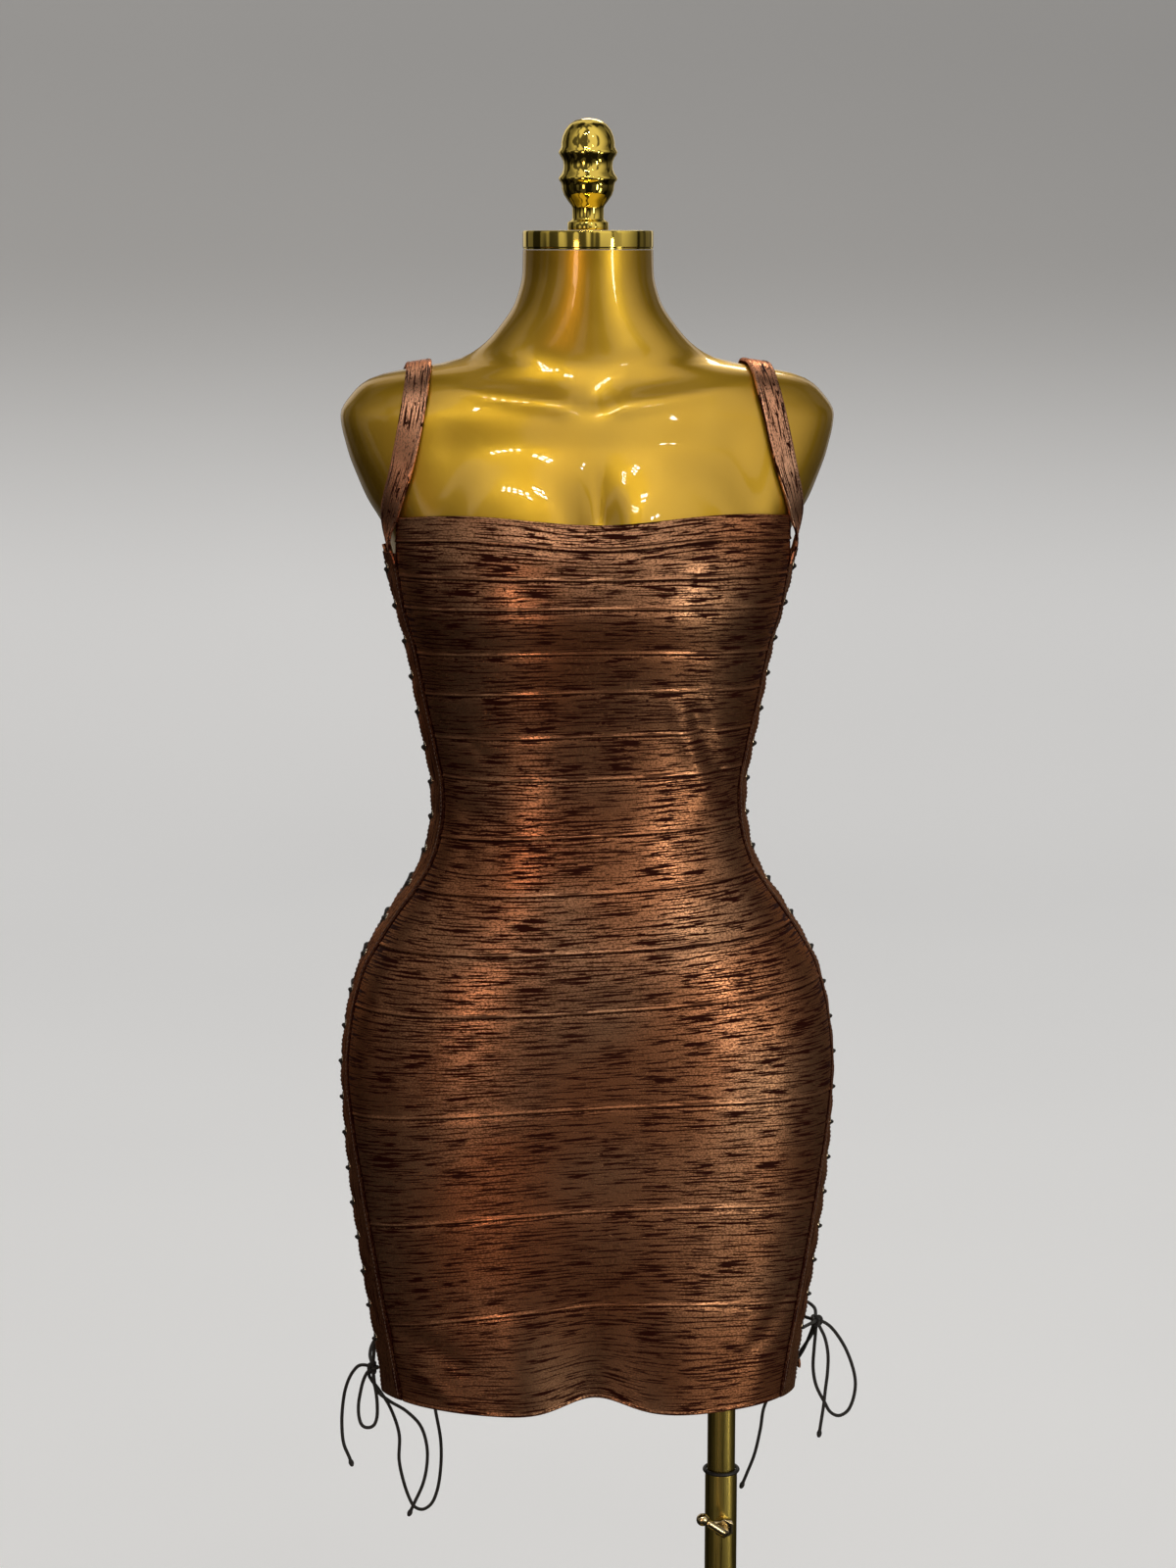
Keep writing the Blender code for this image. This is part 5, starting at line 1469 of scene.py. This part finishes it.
def makeHandle():
    c, x = clampSizes, poleSizes["x"]
    lean = math.radians(c["lean"])
    way = np.array((math.cos(lean), 0.0, math.sin(lean)))
    centre = np.array((x, 0.0, c["height"]))
    ahead = np.array((0.0, -1.0, 0.0))
    corner = centre + ahead * c["reach"]
    points, radii = [], []
    for depth in np.arange(c["start"], c["reach"] - c["bend"], 0.00025):
        points.append(centre + ahead * depth)
        thread = 0.5 - 0.5 * math.cos(2.0 * math.pi * depth / c["threadPitch"])
        inNut = depth < c["start"] + c["length"] + 0.0035
        radii.append(c["screw"] - (c["threadDepth"] * thread if inNut else 0.0))
    for turn in np.linspace(0.08, 1.0, 14) * math.pi / 2.0:
        back, up = c["bend"] * (1.0 - math.sin(turn)), c["bend"] * (1.0 - math.cos(turn))
        points.append(corner - ahead * back + way * up)
        radii.append(c["screw"])
    ballAt = corner + way * c["rod"]
    neck = math.asin(c["screw"] * 0.82 / c["ball"])
    for share in np.linspace(c["bend"] + 0.001, c["rod"] - c["ball"] * math.cos(neck) - 0.0008, 12):
        points.append(corner + way * share)
        radii.append(c["screw"] * (1.0 - 0.12 * (share / c["rod"]) ** 3))
    for turn in np.linspace(neck, math.pi - 0.05, 22):
        points.append(ballAt - way * c["ball"] * math.cos(turn))
        radii.append(c["ball"] * math.sin(turn))
    mesh = tubeMesh("clamp_handle", np.array(points), np.array(radii), 32)
    addPiece("clamp_handle_rod", mesh, "brightBrass", "handle", ["clamp_handle"], sharp=50.0)


makeNut()
makeHandle()

baseSizes = {
    "radius": 0.1700,
    "thick": 0.0080,
    "socketRadius": 0.0200,
    "socketHeight": 0.0300,
    "socketBore": 0.0133,
    "gap": 0.0003,
}


def makeBase():
    b = baseSizes
    r, h = b["radius"], b["thick"]
    plate = roundedProfile((
        (0.002, 0.0), (r - 0.0006, 0.0), (r, 0.0006), (r, h - 0.0025), (r - 0.0025, h), (0.002, h),
    ), 0.0018)
    addTurned("base_plate", "round", plate, 160, (0.0, 0.0, 0.0), "satinBrass", "stand", 40.0)
    place = (poleSizes["x"], 0.0, b["thick"] + b["gap"])
    r, h, bore = b["socketRadius"], b["socketHeight"], b["socketBore"]
    corners = ((bore, 0.0), (r, 0.0), (r, 0.003), (r - 0.001, h), (bore, h))
    collar = roundedProfile(corners + corners[:1], 0.0009)
    addTurned("base_socket", "collar", collar, 72, place, "satinBrass", "stand", 40.0, ring=True)


makeBase()
print("stand made")

# a round studio, and its lights
studioSizes = {
    "paper": (0.60, 0.61, 0.62),
    "floor": -0.0005,
    "floorRings": (0.01, 0.30, 1.00, 2.00, 3.50, 5.00),
    "radius": 7.0,
    "height": 5.5,
    "turnRadius": 2.0,
    "sides": 96,
    "glow": 0.59,            # light of its own, so that the wall is even all round
    "glowTop": 0.18,
    "glowLow": 0.45,
    "glowHigh": 1.50,
}
airSizes = {
    "color": (1.0, 0.93, 0.85),
    "low": 0.05,             # from below, and from above
    "high": 0.56,
    "lowEnd": -0.36,
    "highEnd": 0.16,
    "patch": (2.9, 2.9, 0.8),  # the room's own light and dark places, seen in the polished metal
    "patchRange": (0.44, 0.55, 0.18, 1.50),
    "side": 0.20,            # share left at the sides
    "front": (-0.15, 0.75),
    "back": (0.62, 0.95),
    "backShare": 0.80,
}
lamps = (
    # name, place, aimed at, width, height, power, color
    ("warmStrip", (-0.95, -2.05, 1.00), (0.0, 0.0, 1.04), 0.28, 0.82, 5.6, (1.0, 0.62, 0.42)),
    ("goldStrip", (1.42, -1.80, 0.98), (0.0, 0.0, 1.04), 0.14, 0.94, 8.4, (1.0, 0.98, 0.86)),
    ("goldPanel", (1.85, -1.25, 0.36), (0.0, 0.0, 0.80), 0.30, 0.7, 3.8, (1.0, 0.94, 0.78)),
    ("backLamp", (0.5, 2.6, 3.2), (0.0, 0.0, 1.10), 1.2, 0.6, 14.0, (1.0, 0.95, 0.88)),
)
# small square lights over the camera, set in rows: middle, rows, columns, spacing
spotSizes = {
    "groups": (
        ((-0.42, -1.52, 3.00), 2, 5, 0.085),
        ((0.02, -1.38, 3.10), 2, 3, 0.075),
        ((0.62, -1.85, 2.80), 1, 2, 0.09),
    ),
    "aim": (0.0, 0.0, 1.35),
    "size": 0.045,
    "color": (1.0, 0.95, 0.86),
    "strength": 60.0,
}


def makeStage():
    s = studioSizes
    profile = [(r, s["floor"]) for r in s["floorRings"]]
    for k in range(1, 17):
        turn = math.radians(90.0) * k / 16.0
        profile.append((s["radius"] - s["turnRadius"] * (1.0 - math.sin(turn)),
                        s["floor"] + s["turnRadius"] * (1.0 - math.cos(turn))))
    profile.append((s["radius"], s["height"]))
    turns = evenTurns(s["sides"])
    rows = [np.stack([r * np.cos(turns), r * np.sin(turns), z + 0.0 * turns], axis=1) for r, z in profile]
    faces = [tuple(reversed(face)) for face in gridFaces(len(rows), s["sides"], wrap=True)]
    faces.append(tuple(range(s["sides"])))
    mesh = meshOf("studioBowl", np.vstack(rows), faces, mend=False)
    tree, shader = newFinish("studioPaper", s["paper"], 0.85, 0.0)
    place = objectPlace(tree)
    cloud = noise(tree, place, (0.8, 0.8, 0.8), 2.0)
    pale, dark = tuple(1.03 * c for c in s["paper"]), tuple(0.97 * c for c in s["paper"])
    paper = mixedColor(tree, cloud, dark, pale)
    feed(shader, "Base Color", paper)
    feed(shader, "Emission Color", paper)
    height = addNode(tree, "ShaderNodeSeparateXYZ", {"Vector": place}).outputs["Z"]
    glow = ranged(tree, height, s["glowLow"], s["glowHigh"], s["glow"], s["glowTop"])
    feed(shader, "Emission Strength", glow)
    mesh.materials.append(finishes["studioPaper"])
    mesh.shade_smooth()
    bowl = bpy.data.objects.new("studioBowl", mesh)
    bowl.visible_glossy = False
    bowl.visible_diffuse = False
    bowl.visible_shadow = False
    scene.collection.objects.link(bowl)
    scene.view_settings.view_transform = "Standard"


def makeAir():
    # soft light from all round: brighter in front and behind than at the sides, and from above
    a = airSizes
    world = bpy.data.worlds.new("studioAir")
    world.use_nodes = True
    tree = world.node_tree
    air = tree.nodes["Background"]
    air.inputs["Color"].default_value = (*a["color"], 1.0)
    way = addNode(tree, "ShaderNodeTexCoord", {}).outputs["Generated"]
    parts = addNode(tree, "ShaderNodeSeparateXYZ", {"Vector": way}).outputs
    flat = addNode(tree, "ShaderNodeVectorMath", {0: way, 1: (1.0, 1.0, 0.0)}, operation="MULTIPLY")
    facing = addNode(tree, "ShaderNodeVectorMath", {0: flat.outputs["Vector"]}, operation="NORMALIZE")
    depth = addNode(tree, "ShaderNodeSeparateXYZ", {"Vector": facing.outputs["Vector"]}).outputs["Y"]
    front = ranged(tree, combined(tree, "MULTIPLY", depth, -1.0), *a["front"])
    back = ranged(tree, depth, *a["back"], 0.0, a["backShare"])
    share = ranged(tree, combined(tree, "MAXIMUM", front, back), 0.0, 1.0, a["side"], 1.0, smooth=False)
    rise = ranged(tree, parts["Z"], a["lowEnd"], a["highEnd"], a["low"], a["high"])
    patch = ranged(tree, noise(tree, way, a["patch"], 1.5), *a["patchRange"])
    strength = combined(tree, "MULTIPLY", combined(tree, "MULTIPLY", rise, share), patch)
    feed(air, "Strength", strength)
    scene.world = world


def makeSpots():
    s = spotSizes
    points, faces = [], []
    for middle, rows, columns, spacing in s["groups"]:
        turn = (Vector(s["aim"]) - Vector(middle)).to_track_quat("-Z", "Y").to_matrix()
        for r in range(rows):
            for c in range(columns):
                across, up = (c - (columns - 1) / 2.0) * spacing, (r - (rows - 1) / 2.0) * spacing
                first = len(points)
                for x, y in ((-1, -1), (-1, 1), (1, 1), (1, -1)):
                    corner = Vector((across + x * s["size"] / 2.0, up + y * s["size"] / 2.0, 0.0))
                    points.append(tuple(Vector(middle) + turn @ corner))
                faces.append(tuple(range(first, first + 4)))
    mesh = meshOf("studioSpots", points, faces, mend=False)
    _, shader = newFinish("spotGlow", (0.0, 0.0, 0.0), 1.0, 0.0)
    shader.inputs["Emission Color"].default_value = (*s["color"], 1.0)
    shader.inputs["Emission Strength"].default_value = s["strength"]
    mesh.materials.append(finishes["spotGlow"])
    spots = bpy.data.objects.new("studioSpots", mesh)
    spots.visible_camera = False
    spots.visible_shadow = False
    scene.collection.objects.link(spots)


def makeLamps():
    for name, place, aim, width, height, power, color in lamps:
        data = bpy.data.lights.new(name, "AREA")
        data.shape = "RECTANGLE"
        data.size, data.size_y = width, height
        data.energy = power
        data.color = color
        lamp = bpy.data.objects.new(name, data)
        lamp.location = place
        lamp.rotation_euler = (Vector(aim) - Vector(place)).to_track_quat("-Z", "Y").to_euler()
        lamp.visible_camera = False
        scene.collection.objects.link(lamp)


makeStage()
makeAir()
makeSpots()
makeLamps()
print("stage and lamps made")
